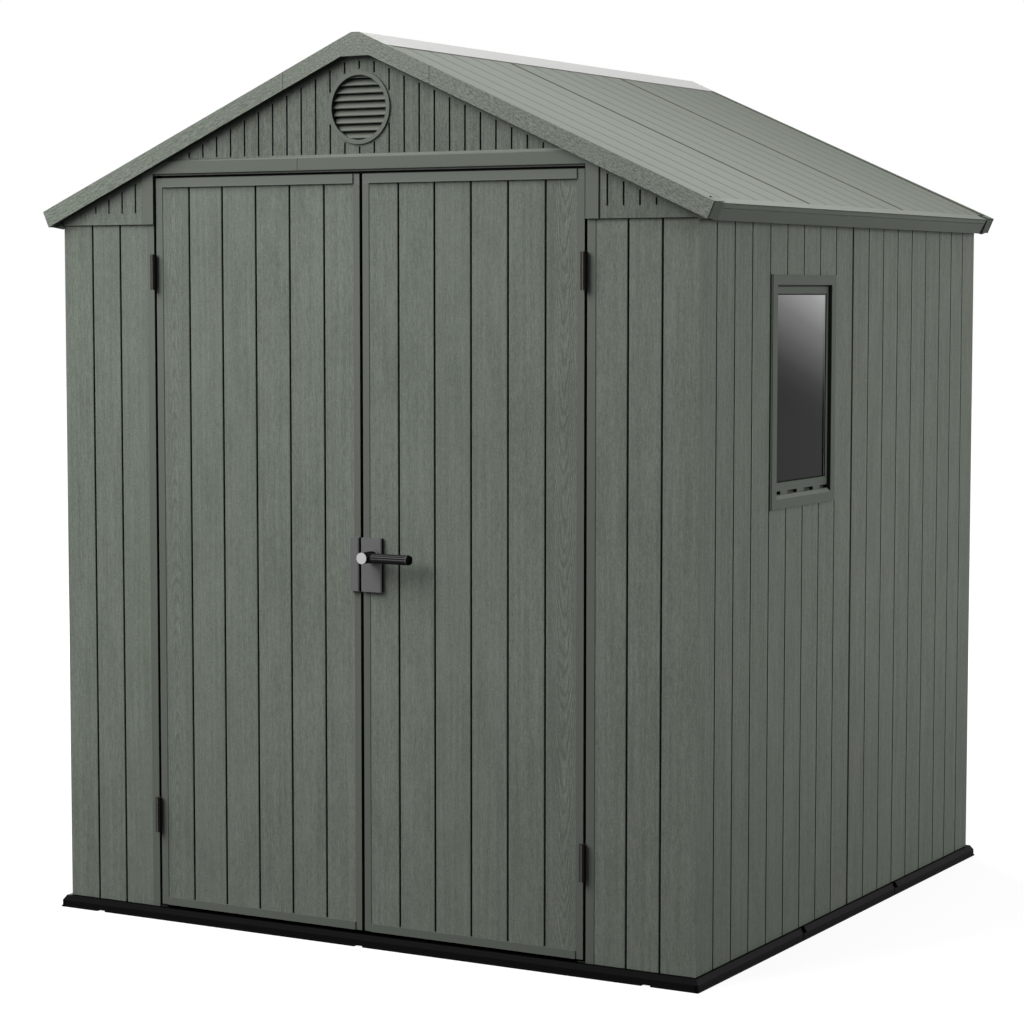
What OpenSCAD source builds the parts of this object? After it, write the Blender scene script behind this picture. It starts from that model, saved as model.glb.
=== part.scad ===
// Resin garden shed with a pitched roof, double doors in the front gable wall,
// one window in the right wall and a translucent ridge strip.
// Doors face -Y, the window faces +X, +Z is up, and the origin is the middle of
// the base, on the ground. All sizes are in millimetres.

/* [Base] */
// Width of the base across the front
base_w = 1840; // [1500:10:2400]
// Depth of the base, front to back
base_d = 1808; // [1200:10:3000]
// Height of the base, which the walls stand on
base_h = 30; // [24:1:60]
// Height at which the sloping edge of the base starts
base_lip_h = 17.5; // [8:0.5:19]
// How far the base edge slopes inwards
base_slope = 8; // [4:1:12]
// How far the flange at the foot of the base stands out
base_flange = 2; // [0.5:0.5:4]
// Half the depth of the middle base panel
base_joint = 302; // [200:1:500]

/* [Walls] */
// Width over the wall panels
wall_w = 1804; // [1400:10:2400]
// Depth over the wall panels
wall_d = 1763; // [1200:10:3000]
// Thickness of a wall panel
wall_t = 20; // [12:1:30]
// Height at which the wall panels end and the gables start
gable_z = 1768; // [1500:1:2000]
// Board widths of the front half of a side wall, from the front corner
side_front_boards = [93, 97, 97, 102, 99, 99, 100, 99, 106.5]; // [80:0.5:120]
// Board widths of the back half of a side wall
side_rear_boards = [106.5, 99, 99, 100, 100, 103, 88, 87, 88]; // [80:0.5:120]
// Number of boards on one half of the back wall
rear_boards = 9; // [6:1:12]
// Board widths of a front panel, from the door frame to the corner
front_boards = [86, 87.5, 91]; // [80:0.5:120]
// How far the grooves right of the middle lie nearer to it than those on the left
right_shift = 2.4; // [0:0.2:5]
// Width of the groove between two boards
groove_w = 5; // [2:0.2:8]
// Width of the small bevel along each edge of a groove
groove_lip = 1.2; // [0.2:0.1:2]
// Depth of the groove between two boards
groove_d = 5; // [2:0.5:8]

/* [Doors] */
// Half the gap between the two doors
door_mid = 4.2; // [2:0.2:8]
// Half the width over both doors
door_half = 609.5; // [500:0.5:800]
// Gap between a door and the frame beside it
door_gap = 7.5; // [5:0.5:10]
// Height of the underside of the doors
door_z0 = 37.5; // [35:0.5:60]
// Height of the top of the doors
door_z1 = 1883; // [1500:1:2000]
// Thickness of a door
door_t = 20; // [12:1:40]
// Width of the smooth stiles of a door
stile_w = 18; // [12:1:60]
// Height of the smooth rail at the top of a door
rail_top = 23; // [12:1:60]
// Height of the smooth rail at the foot of a door
rail_foot = 19.5; // [12:0.5:60]
// How far the smooth stiles stand proud of the boards
stile_proud = 1.5; // [0.5:0.5:4]
// Width of one door board
door_board = 100.4; // [80:0.1:140]

/* [Gables] */
// Height of the underside of the beam over the doors
head_z0 = 1894; // [1700:1:2000]
// Height of the top of the beam over the doors
head_z1 = 1926; // [1750:1:2100]
// Position of the hairline joint in the beam over the doors
head_joint = -179; // [-500:1:500]
// Width of the smooth post beside the doors in the gable
post_w = 31.5; // [20:0.5:60]
// Width of the shadow gap between that post and the wing beside it
post_gap = 2; // [0.5:0.5:5]
// Pitch of the short slots in the gables
slot_pitch = 41.9; // [30:0.1:60]
// Width of a short slot in the gables
slot_w = 4.6; // [2:0.2:8]
// Height of the vent's centre
vent_z = 2040; // [1950:1:2100]
// Radius of the vent's outer ring
vent_r = 87.5; // [60:0.5:110]
// Distance between two louvres of the vent
louvre_pitch = 18; // [12:1:30]

/* [Roof] */
// Width over the roof
roof_w = 1900; // [1500:10:2500]
// Depth over the roof
roof_d = 1816; // [1200:10:3000]
// Height of the ridge
ridge_z = 2218; // [1900:1:2500]
// Height of the upper edge of the eaves
eave_z = 1803; // [1600:1:2100]
// Half the width of the flat on the ridge
ridge_flat = 11; // [0:1:30]
// Thickness of a roof panel, square to the slope
roof_t = 20; // [10:1:40]
// Width of the barge boards and eave strips, square to the slope
barge_h = 40; // [30:1:80]
// Thickness of a barge board
barge_t = 18; // [8:1:30]
// Length of the front barge board's return along the eave
barge_end = 56; // [20:1:80]
// Length of the back barge board's return along the eave
barge_end_rear = 43; // [20:1:80]
// How far the roof panels lie below the barge boards' top
roof_drop = 2; // [0.5:0.5:3]
// Pitch of the fine grooves down the roof panels
rib_pitch = 99.3; // [90:0.1:105]
// Distance of the first fine groove from a joint
rib_first = 109; // [90:1:120]
// Width of a fine roof groove
rib_w = 3.4; // [1:0.2:6]
// Depth of a fine roof groove
rib_d = 2; // [0.5:0.5:3]
// Width of the open groove at a roof joint
joint_w = 8; // [2:1:10]
// Width of the eave strip's flange over the roof panels
eave_flange = 31; // [24:1:60]
// How much wider the barge boards are at the eaves than at the ridge
barge_widen = 3; // [0:0.5:6]
// How much deeper the eave strips are than the barge boards at the ridge
strip_deeper = 7.5; // [4:0.5:10]
// Height of the soffit where it meets the side wall
soffit_z = 1766; // [1740:0.5:1770]
// Half the length of the ridge piece of the front barge boards
barge_peak = 207.5; // [100:0.5:400]
// Half the width of the translucent ridge strip
sky_half = 86; // [50:1:150]
// Thickness of the translucent ridge strip
sky_t = 12; // [4:1:20]
// Half the depth of the middle roof panels
roof_joint = 305; // [200:1:500]

/* [Window] */
// Middle of the window along the wall
win_y = -299; // [-500:1:0]
// Height of the window's middle
win_z = 1360.5; // [1000:0.5:1600]
// Width of the window over its flange
win_w = 382; // [250:1:600]
// Height of the window over its flange
win_h = 562; // [300:1:900]
// Width of the flange beside the opening
win_flange = 27; // [15:1:50]
// Width of the flange above and below the opening
win_flange_z = 24.3; // [15:0.1:50]
// How far the flange stands proud of the wall
win_proud = 6; // [2:1:12]

/* [Door furniture] */
// Height of the middle of the lock plates
plate_z = 940.5; // [800:0.5:1200]
// Height of the lock plates
plate_h = 131; // [80:1:200]
// Thickness of the lock plates
plate_t = 11; // [6:0.5:15]
// Height of the lever's axis
lever_z = 961.5; // [800:0.5:1200]
// Distance of the lever's axis from the middle of the shed
lever_x = 38.5; // [25:0.5:60]
// Reach of the lever from its axis
lever_len = 129; // [80:1:180]
// Distance of the door hinges' axes from the middle of the shed
hinge_x = 612.5; // [500:0.5:800]
// Distance of the hinge axes in front of the wall face
hinge_out = 11.5; // [9:0.5:20]
// Radius of a hinge barrel
hinge_r = 7.7; // [5:0.1:12]
// Length of a hinge barrel
hinge_len = 89; // [60:1:120]
// Heights of the middle of the lower and upper hinges
hinge_zs = [269.5, 1648.5]; // [100:0.5:1800]

/* [Hidden] */
$fn = 48;
wall_x = wall_w / 2;
wall_y = wall_d / 2;
// front face of the walls, the gable panels and the smooth gable frame
face_y = -wall_y;
gable_y = face_y - 6;
frame_y = face_y - 8;
gable_in = gable_y + 20;
// frame edge beside the doors
jamb_x = door_half + door_gap;
post_x = jamb_x + post_w;
post_in = jamb_x - 2.5;
// roof slope: rise per run, and unit vectors along and square to it
rise = (ridge_z - eave_z) / (roof_w / 2 - ridge_flat);
run_k = 1 / sqrt(1 + rise * rise);
u = [run_k, -rise * run_k];
n = [rise * run_k, run_k];
eave = [roof_w / 2, eave_z];
eave_in = eave - 2 * u;
soffit = [wall_w / 2 + 0.6, soffit_z];
// lower corner of a barge board at the eave, and the eave strip's lower edge
barge_foot = eave - (barge_h + barge_widen) * n;
strip_foot = eave_in - (barge_h + strip_deeper) * n - 2.5 * u;
barge_in = roof_d / 2 - barge_t;
roof_y = barge_in;
drop_t = roof_t / run_k;
drop_b = barge_h / run_k;
// half width of the flat under the ridge piece of the barge boards, and the ends of
// that piece and of the side pieces, with a hairline gap between them
peak_flat = 40;
peak_end = barge_peak - 0.5;
side_end = barge_peak + 0.5;
hinge_y = face_y - hinge_out;
side_joint = face_y + sum(side_front_boards);

col_panel = [0.42, 0.45, 0.41];
col_frame = [0.36, 0.39, 0.35];
col_roof = [0.52, 0.55, 0.51];
col_base = [0.08, 0.08, 0.085];
col_sky = [0.86, 0.86, 0.85];
col_glass = [0.35, 0.36, 0.37];
col_plate = [0.33, 0.33, 0.33];
col_black = [0.07, 0.07, 0.07];
col_hinge = [0.17, 0.14, 0.13];
col_disc = [0.78, 0.78, 0.78];

// node to draw, or all

function sum(v, i = 0) = i < len(v) ? v[i] + sum(v, i + 1) : 0;
// positions of the grooves that lie between boards, the first board starting at x0
function joints(x0, w) =
  [for (i = [0 : len(w) - 2]) x0 + sum([for (j = [0 : i]) w[j]])];
// outline points of a row of grooves cut into the face v = f
function cuts(xs, f) = [for (x = xs) each [
  [x - groove_w / 2 - groove_lip, f], [x - groove_w / 2, f + 0.9],
  [x - groove_w / 2 + 0.5, f + groove_d], [x + groove_w / 2 - 0.5, f + groove_d],
  [x + groove_w / 2, f + 0.9], [x + groove_w / 2 + groove_lip, f]]];
// height of the roof's top surface at a distance x from the middle
function top_z(x) = ridge_z - rise * (abs(x) - ridge_flat);

// extrude an outline drawn in X and Z from y0 to y1
module along_y(y0, y1) {
  translate([0, y1, 0])
    rotate([90, 0, 0])
      linear_extrude(height = y1 - y0)
        children();
}

// extrude an outline drawn in Y and Z from x0 to x1
module along_x(x0, x1) {
  translate([x0, 0, 0])
    rotate([90, 0, 90])
      linear_extrude(height = x1 - x0)
        children();
}

// ---------------------------------------------------------------- base

// half of the base's edge profile, for a base that reaches r from its middle and
// slopes in by d
function edge(r, d) = [[r, 0], [r, 3.5], [r - base_flange, 4.5],
  [r - base_flange, base_lip_h], [r - base_flange - d, base_h]];
function both(p) = concat(p, [for (i = [len(p) - 1 : -1 : 0]) [-p[i][0], p[i][1]]]);

// the whole base: flange, upright edge and slope, with blunt corners
module base_block() {
  bx = base_w / 2;
  by = base_d / 2;
  rd = (bx + by - 7) / sqrt(2);
  intersection() {
    along_y(-by, by) polygon(both(edge(bx, base_slope)));
    along_x(-bx, bx) polygon(both(edge(by, base_slope)));
    for (a = [45, -45])
      rotate([0, 0, a])
        along_y(-2 * rd, 2 * rd)
          polygon(both(edge(rd, base_slope * 1.3)));
  }
}

// one panel of the base between two depths; a narrow gap marks each joint, and
// the panel behind it has a notch in its slope
module base_panel(y0, y1) {
  bx = base_w / 2;
  difference() {
    intersection() {
      base_block();
      translate([-bx - 5, y0, -1])
        cube([base_w + 10, y1 - y0, base_h + 2]);
    }
    for (s = [-1, 1]) {
      if (y0 > -base_d / 2) {
        translate([s * bx - 9, y0 - 1, -1])
          cube([18, 3, base_h + 2]);
        translate([s * bx - 18, y0 + 3, base_lip_h])
          cube([36, 20, base_h]);
      }
      if (y1 < base_d / 2)
        translate([s * bx - 9, y1 - 2, -1])
          cube([18, 3, base_h + 2]);
    }
    for (x = [-792, -3, 785], s = [-1, 1])
      translate([x - 12, s * base_d / 2 - 20, -1])
        cube([24, 40, 4.5]);
  }
}

module floor_front() {
  color(col_base) base_panel(-base_d / 2, -base_joint);
}

module floor_middle() {
  color(col_base) base_panel(-base_joint, base_joint);
}

module floor_rear() {
  color(col_base) base_panel(base_joint, base_d / 2);
}

// ---------------------------------------------------------------- walls

// front panel beside the doors: smooth jamb, three boards, mitred corner, the
// stop that the door closes against and its low foot under the door. The grooves
// lie nearer to the door by shift
module front_panel(shift) {
  x1 = jamb_x + 21.5;
  translate([0, face_y, base_h])
    linear_extrude(height = gable_z - base_h)
      polygon(concat(
        [[jamb_x, -stile_proud], [x1, -stile_proud], [x1 + 0.5, 0]],
        cuts(joints(x1 - shift, front_boards), 0),
        [[wall_x, 0], [wall_x - wall_t, wall_t], [jamb_x + 28, wall_t],
          [jamb_x + 28, wall_t + 15], [jamb_x - 18, wall_t + 15],
          [jamb_x - 18, wall_t + 5], [jamb_x, wall_t + 5]]));
  translate([jamb_x - 23, face_y + 1, base_h])
    cube([28, 30, 2.5]);
}

module front_right_panel() {
  color(col_panel) front_panel(right_shift);
}

module front_left_panel() {
  color(col_panel) mirror([1, 0, 0]) front_panel(0);
}

// plan outline of the front half of a side wall: u runs back from the front
// corner, v runs inwards
module side_front_plan() {
  polygon(concat(
    [[face_y, 0]],
    cuts(joints(face_y, side_front_boards), 0),
    [[side_joint - 2.5, 0], [side_joint - 2.5, 8], [side_joint, 8],
      [side_joint, wall_t], [face_y + wall_t, wall_t]]));
}

module side_rear_plan() {
  polygon(concat(
    [[side_joint, 8], [side_joint + 2.5, 8], [side_joint + 2.5, 0]],
    cuts(joints(side_joint, side_rear_boards), 0),
    [[wall_y, 0], [wall_y - wall_t, wall_t], [side_joint, wall_t]]));
}

// top of a side wall between two depths, cut to the slope of the roof
module side_top(y0, y1, z0) {
  xi = wall_x - wall_t;
  along_y(y0, y1)
    polygon([[xi, z0], [wall_x, z0],
      [wall_x, top_z(wall_x) - drop_t - 0.3], [xi, top_z(xi) - drop_t - 0.3]]);
}

module side_front() {
  translate([wall_x, 0, base_h])
    rotate([0, 0, 90])
      linear_extrude(height = gable_z - base_h)
        side_front_plan();
  side_top(face_y + wall_t, side_joint, gable_z - 1);
  side_top(gable_in, face_y + wall_t + 1, gable_z);
}

module side_rear() {
  translate([wall_x, 0, base_h])
    rotate([0, 0, 90])
      linear_extrude(height = gable_z - base_h)
        side_rear_plan();
  side_top(side_joint, wall_y - wall_t, gable_z - 1);
  side_top(wall_y - wall_t - 1, -gable_in, gable_z);
}

module right_wall_front() {
  hole_w = win_w - 2 * win_flange + 12;
  hole_h = win_h - 2 * win_flange_z + 12;
  color(col_panel)
    difference() {
      side_front();
      translate([wall_x - 60, win_y - hole_w / 2, win_z - hole_h / 2])
        cube([100, hole_w, hole_h]);
    }
}

module right_wall_rear() {
  color(col_panel) side_rear();
}

module left_wall_front() {
  color(col_panel) mirror([1, 0, 0]) side_front();
}

module left_wall_rear() {
  color(col_panel) mirror([1, 0, 0]) side_rear();
}

// half of the back wall: u runs from the middle to the corner
module rear_panel() {
  w = [for (i = [1 : rear_boards]) wall_x / rear_boards];
  translate([0, wall_y, base_h])
    mirror([0, 1, 0])
      linear_extrude(height = gable_z - base_h)
        polygon(concat(
          [[0, 8], [2.5, 8], [2.5, 0]],
          cuts(joints(0, w), 0),
          [[wall_x, 0], [wall_x - wall_t, wall_t], [0, wall_t]]));
}

module rear_right_panel() {
  color(col_panel) rear_panel();
}

module rear_left_panel() {
  color(col_panel) mirror([1, 0, 0]) rear_panel();
}

// ---------------------------------------------------------------- gables

// one short slot cut into a gable face, from z0 to z1
module slot(x, z0, z1) {
  translate([x - slot_w / 2, gable_y - 5, z0])
    cube([slot_w, 10, z1 - z0]);
}

// height at which a slot ends below the barge board
function slot_top(x) = top_z(x) - drop_b - 11.9;

// triangular wing between the door frame's post and the corner, with a narrow open
// gap along the post
module wing() {
  difference() {
    along_y(gable_y, gable_in)
      polygon([[post_x, gable_z], [wall_x, gable_z],
        [wall_x, top_z(wall_x) - drop_t - 0.3],
        [post_x, top_z(post_x) - drop_t - 0.3]]);
    translate([post_x - 1, gable_y - 1, gable_z - 1])
      cube([post_gap + 1, 7, ridge_z - gable_z]);
    for (i = [16 : 19])
      slot(i * slot_pitch, gable_z + 28.6, slot_top(i * slot_pitch) - 1.4);
  }
}

module gable_right_wing() {
  color(col_panel) wing();
}

module gable_left_wing() {
  color(col_panel) mirror([1, 0, 0]) wing();
}

// smooth moulding over the doors: two posts from the wall panels up to the roof,
// the beam between them with its sloping top edge and one hairline joint, and the
// door stop behind
module door_head_frame() {
  color(col_frame) difference() {
    union() {
      for (s = [0, 1])
        mirror([s, 0, 0])
          along_y(frame_y, gable_in)
            polygon([[post_in, gable_z], [post_x, gable_z],
              [post_x, top_z(post_x) - drop_t - 0.3],
              [post_in, top_z(post_in) - drop_t - 0.3]]);
      along_x(-jamb_x, jamb_x)
        polygon([[frame_y, head_z0], [frame_y + 3, head_z0],
          [frame_y + 3, head_z0 - 5], [face_y + wall_t + 6, head_z0 - 5],
          [face_y + wall_t + 6, head_z0 - 30], [face_y + wall_t + 16, head_z0 - 30],
          [face_y + wall_t + 16, head_z0 + 10], [gable_in, head_z0 + 10],
          [gable_in, head_z1], [gable_y, head_z1], [frame_y, head_z1 - 3]]);
    }
    translate([head_joint - 0.6, frame_y - 1, head_z0 - 1])
      cube([1.2, 2.2, head_z1 - head_z0 + 2]);
  }
}

// gable panel over the beam, with the vent's hole and short slots
module front_gable() {
  zt = top_z(post_in) - drop_t - 0.3;
  zc = top_z(0) - drop_t - 0.3;
  color(col_panel)
    difference() {
      along_y(gable_y, gable_in)
        polygon([[-post_in, head_z1], [post_in, head_z1], [post_in, zt],
          [0, zc], [-post_in, zt]]);
      translate([0, gable_in + 1, vent_z])
        rotate([90, 0, 0])
          cylinder(h = 30, r = vent_r - 5);
      for (i = [3 : 12], s = [-1, 1])
        slot(s * i * slot_pitch, head_z1 + 5, slot_top(i * slot_pitch));
      for (i = [-2 : 2]) {
        h = sqrt(pow(vent_r + 4.5, 2) - pow(i * slot_pitch, 2));
        slot(i * slot_pitch, head_z1 + 5, vent_z - h);
        slot(i * slot_pitch, vent_z + h, min(slot_top(i * slot_pitch),
          ridge_z - drop_b - 23.3));
      }
    }
}

// plain back gable in one piece, with the same short slots
module rear_gable() {
  zs = top_z(wall_x) - drop_t - 0.3;
  zc = top_z(0) - drop_t - 0.3;
  color(col_panel)
    mirror([0, 1, 0])
      difference() {
        along_y(gable_y, gable_in)
          polygon([[-wall_x, gable_z], [wall_x, gable_z], [wall_x, zs],
            [0, zc], [-wall_x, zs]]);
        for (i = [-19 : 19])
          slot(i * slot_pitch, gable_z + 28.6,
            min(slot_top(i * slot_pitch), ridge_z - drop_b - 23.3));
      }
}

// round louvred vent: a flat ring, its sleeve through the gable and the louvres
module gable_vent() {
  r_in = vent_r - 10.5;
  color(col_frame)
    translate([0, gable_y, vent_z])
      rotate([90, 0, 0]) {
        rotate_extrude($fn = 96)
          polygon([[r_in, -24], [vent_r - 6, -24], [vent_r - 6, 0], [vent_r, 0],
            [vent_r, 4], [vent_r - 0.5, 4.5], [r_in + 0.6, 4.5], [r_in, 3.9]]);
        intersection() {
          translate([0, 0, -24])
            cylinder(h = 24, r = r_in + 1, $fn = 96);
          for (k = [-4.34 : 1 : 3.7])
            translate([-vent_r, 0, 0])
              rotate([90, 0, 90])
                linear_extrude(height = 2 * vent_r)
                  polygon([[k * louvre_pitch + 4.6, -3.5],
                    [k * louvre_pitch + 6.4, -2.2],
                    [k * louvre_pitch + 23.2, -12.5],
                    [k * louvre_pitch + 21.8, -14]]);
        }
      }
}

// ---------------------------------------------------------------- roof

// one roof panel on the right slope between two depths: a lower layer that
// reaches under the translucent strip and the eave, and an upper layer with fine
// grooves, set back at each end that meets another panel
module roof_panel(y0, y1, ribs) {
  b = eave_in - 20 * u;
  x0 = sky_half + 2;
  x1 = sky_half - 8;
  t0 = y0 > -roof_y ? joint_w / 2 : 0;
  t1 = y1 < roof_y ? joint_w / 2 : 0;
  pa = [x0, top_z(x0)] - roof_drop * n;
  pb = eave_in - (eave_flange + 0.6) * u - (roof_drop + 2) * n;
  along_y(y0, y1)
    polygon([[x0, top_z(x0) - 8 / run_k], b - 8 * n, b - roof_t * n,
      [x1, top_z(x1) - drop_t], [x1, top_z(x1) - (sky_t + 0.5) / run_k],
      [x0, top_z(x0) - (sky_t + 0.5) / run_k]]);
  difference() {
    along_y(y0 + t0, y1 - t1)
      polygon([pa, pb, pb - (6 - roof_drop) * n, [x0, top_z(x0) - 8 / run_k]]);
    for (y = ribs)
      along_y(y - rib_w / 2, y + rib_w / 2)
        polygon([pa - 9 * u - rib_d * n, pb + 9 * u - rib_d * n, pb + 9 * u + 9 * n,
          pa - 9 * u + 9 * n]);
  }
}

// positions of the fine grooves of the middle panel and of the back panel
mid_ribs = [for (i = [-2 : 2]) i * (rib_pitch - 0.8)];
end_ribs = [for (i = [0 : 4]) roof_joint + rib_first + i * rib_pitch];

module roof_end() {
  mirror([0, 1, 0]) roof_panel(roof_joint, roof_y, end_ribs);
}

module roof_right_front() {
  color(col_roof) roof_end();
}

module roof_right_middle() {
  color(col_roof) roof_panel(-roof_joint, roof_joint, mid_ribs);
}

module roof_right_rear() {
  color(col_roof) roof_panel(roof_joint, roof_y, end_ribs);
}

module roof_left_front() {
  color(col_roof) mirror([1, 0, 0]) roof_end();
}

module roof_left_middle() {
  color(col_roof) mirror([1, 0, 0]) roof_panel(-roof_joint, roof_joint, mid_ribs);
}

module roof_left_rear() {
  color(col_roof) mirror([1, 0, 0]) roof_panel(roof_joint, roof_y, end_ribs);
}

// translucent strip along the ridge, ending just inside the barge boards' lips
module ridge_skylight() {
  x1 = sky_half;
  y1 = roof_d / 2 - 4;
  color(col_sky)
    along_y(-y1, y1)
      polygon([[-x1, top_z(x1)], [-ridge_flat, ridge_z], [ridge_flat, ridge_z],
        [x1, top_z(x1)], [x1, top_z(x1) - sky_t],
        [ridge_flat, ridge_z - sky_t], [-ridge_flat, ridge_z - sky_t],
        [-x1, top_z(x1) - sky_t]]);
}

// sloping front barge board on the right, with its return along the eave. Behind
// the board the return deepens to the eave strip, its soffit rises to the wall, and
// a shadow groove runs under its upper edge
module barge_side(len) {
  y0 = -roof_d / 2;
  k = barge_h + strip_deeper + 0.6;
  difference() {
    union() {
      along_y(y0, -barge_in)
        polygon([[side_end, top_z(side_end)], eave, barge_foot,
          [side_end, top_z(side_end) - drop_b]]);
      along_y(-barge_in, y0 + len)
        polygon([eave, eave - k * n, soffit, soffit + [0, 6],
          eave - (k - 7) * n - 21.5 * u, eave - 21.5 * u]);
    }
    along_x(soffit[0] - 20, roof_w / 2 + 20)
      polygon([[-barge_in, barge_foot[1]], [y0 + len + 1, eave[1] - k * n[1]],
        [y0 + len + 1, eave[1] - 70], [-barge_in, eave[1] - 70]]);
    along_y(-barge_in, y0 + len + 1)
      polygon([eave - 1.6 * n + u, eave - 3.8 * n + u, eave - 3.8 * n - 3 * u,
        eave - 1.6 * n - 3 * u]);
  }
}

// ridge piece of the barge boards: full height at its lip, lower behind it where
// the translucent strip passes over
module barge_top() {
  y0 = -roof_d / 2;
  zb = top_z(peak_end);
  xs = sky_half + 0.5;
  zt = top_z(xs);
  zf = top_z(peak_flat) - drop_b;
  along_y(y0, y0 + 4)
    polygon([[-peak_end, zb], [-ridge_flat, ridge_z], [ridge_flat, ridge_z],
      [peak_end, zb], [peak_end, zb - drop_b], [peak_flat, zf],
      [-peak_flat, zf], [-peak_end, zb - drop_b]]);
  along_y(y0 + 4, -barge_in)
    polygon([[-peak_end, zb], [-xs, zt], [-xs, zt - sky_t - 0.3],
      [-ridge_flat, ridge_z - sky_t - 0.3], [ridge_flat, ridge_z - sky_t - 0.3],
      [xs, zt - sky_t - 0.3], [xs, zt], [peak_end, zb], [peak_end, zb - drop_b],
      [peak_flat, zf], [-peak_flat, zf], [-peak_end, zb - drop_b]]);
}

module front_barge_right() {
  color(col_panel) barge_side(barge_end);
}

module front_barge_left() {
  color(col_panel) mirror([1, 0, 0]) barge_side(barge_end);
}

module front_barge_peak() {
  color(col_panel) barge_top();
}

module rear_barge_right() {
  color(col_panel) mirror([0, 1, 0]) barge_side(barge_end_rear);
}

module rear_barge_left() {
  color(col_panel)
    mirror([1, 0, 0])
      mirror([0, 1, 0])
        barge_side(barge_end_rear);
}

module rear_barge_peak() {
  color(col_panel) mirror([0, 1, 0]) barge_top();
}

// strip along the eave between the barge boards' returns, its face parted by two
// shadow grooves, with a thin flange over the roof panels and a soffit rising to the
// wall
module eave_strip() {
  e = eave_in;
  t = e - (roof_drop + 2) * n;
  k = barge_h + strip_deeper;
  along_y(barge_end + 0.3 - roof_d / 2, roof_d / 2 - barge_end_rear - 8)
    polygon([t, t - 1.6 * n, t - 1.6 * n - 3 * u, t - 3.6 * n - 3 * u, t - 3.6 * n,
      t - 12.5 * n, t - 12.5 * n - 3 * u, t - 14.5 * n - 3 * u,
      t - 14.5 * n - 0.5 * u, strip_foot,
      soffit, soffit + [0, 6], e - (k - 7) * n - 19.5 * u,
      e - 7.7 * n - 19.5 * u, e - 7.7 * n - eave_flange * u, t - eave_flange * u]);
}

module right_eave_strip() {
  color(col_frame) eave_strip();
}

module left_eave_strip() {
  color(col_frame) mirror([1, 0, 0]) eave_strip();
}

// ---------------------------------------------------------------- window

// outer frame: flange on the wall, sleeve through it and a sloping sill
module window_frame() {
  ow = win_w - 2 * win_flange;
  oh = win_h - 2 * win_flange_z;
  z0 = win_z - oh / 2;
  color(col_frame) {
    difference() {
      union() {
        translate([wall_x, win_y - win_w / 2, win_z - win_h / 2])
          cube([win_proud, win_w, win_h]);
        translate([wall_x - wall_t - 6, win_y - ow / 2 - 5.7, win_z - oh / 2 - 5.7])
          cube([wall_t + 7, ow + 11.4, oh + 11.4]);
      }
      translate([wall_x - 60, win_y - ow / 2, win_z - oh / 2])
        cube([100, ow, oh]);
    }
    along_y(win_y - ow / 2, win_y + ow / 2)
      polygon([[wall_x + win_proud, z0], [wall_x - 3.5, z0 + 9.5],
        [wall_x - 3.5, z0]]);
  }
}

// fixed inner sash: stiles, rails and four drain slots
module window_sash() {
  ow = win_w - 2 * win_flange - 0.6;
  oh = win_h - 2 * win_flange_z - 0.6;
  x1 = wall_x - 4;
  color(col_frame)
    difference() {
      translate([x1 - 14, win_y - ow / 2, win_z - oh / 2])
        cube([14, ow, oh]);
      translate([x1 - 20, win_y - ow / 2 + 12, win_z - oh / 2 + 38])
        cube([30, ow - 24, oh - 59]);
      for (k = [-1.5 : 1 : 1.5])
        translate([x1 - 9, win_y + k * 98 - 28, win_z - oh / 2 + 9])
          cube([12, 56, 8.5]);
    }
}

// fixed pane in the sash
module window_pane() {
  ow = win_w - 2 * win_flange - 0.6;
  oh = win_h - 2 * win_flange_z - 0.6;
  color(col_glass)
    translate([wall_x - 10, win_y - ow / 2 + 12, win_z - oh / 2 + 38])
      cube([4, ow - 24, oh - 59]);
}

// ---------------------------------------------------------------- doors

// right door leaf: grooved boards inside smooth stiles and rails. The grooves lie
// nearer to the middle by shift
module door_leaf(shift) {
  x0 = door_mid;
  x1 = door_half;
  b0 = x0 + stile_w;
  b1 = x1 - 19.5;
  gs = [for (i = [0 : 4]) 107.3 - shift + i * door_board];
  translate([0, face_y, 0]) {
    translate([0, 0, door_z0 + rail_foot])
      linear_extrude(height = door_z1 - rail_top - door_z0 - rail_foot)
        polygon(concat(
          [[x0, -stile_proud], [b0, -stile_proud], [b0 + 0.5, 0]],
          cuts(gs, 0),
          [[b1 - 0.5, 0], [b1, -stile_proud], [x1, -stile_proud],
            [x1, door_t], [x0, door_t]]));
    for (z = [[door_z0, rail_foot], [door_z1 - rail_top, rail_top]])
      translate([0, 0, z[0]]) {
        translate([x0, -stile_proud, 0])
          cube([x1 - x0, door_t + stile_proud, z[1]]);
        translate([b0, -stile_proud - 3, 0])
          cube([b1 - b0, 5, z[1]]);
      }
  }
}

module right_door() {
  color(col_panel) door_leaf(right_shift);
}

module left_door() {
  color(col_panel) mirror([1, 0, 0]) door_leaf(0);
}

// ---------------------------------------------------------------- furniture

// frame side of one right-hand hinge: two knuckles, the pin and a leaf on the
// edge of the jamb
module hinge_frame(zc) {
  k = hinge_len / 2;
  m = hinge_len * 0.23;
  translate([hinge_x, hinge_y, zc]) {
    for (z = [[-k, k - m - 0.3], [m + 0.3, k - m - 0.3]])
      translate([0, 0, z[0]]) {
        cylinder(h = z[1], r = hinge_r);
        translate([1.5, 4.2, 0])
          cube([jamb_x - hinge_x - 1.5, 5, z[1]]);
      }
    translate([0, 0, -k + 1])
      cylinder(h = hinge_len - 2, r = 3);
    translate([1.5, 8.6, -k])
      cube([jamb_x - hinge_x - 1.5, 18, hinge_len]);
  }
}

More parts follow.
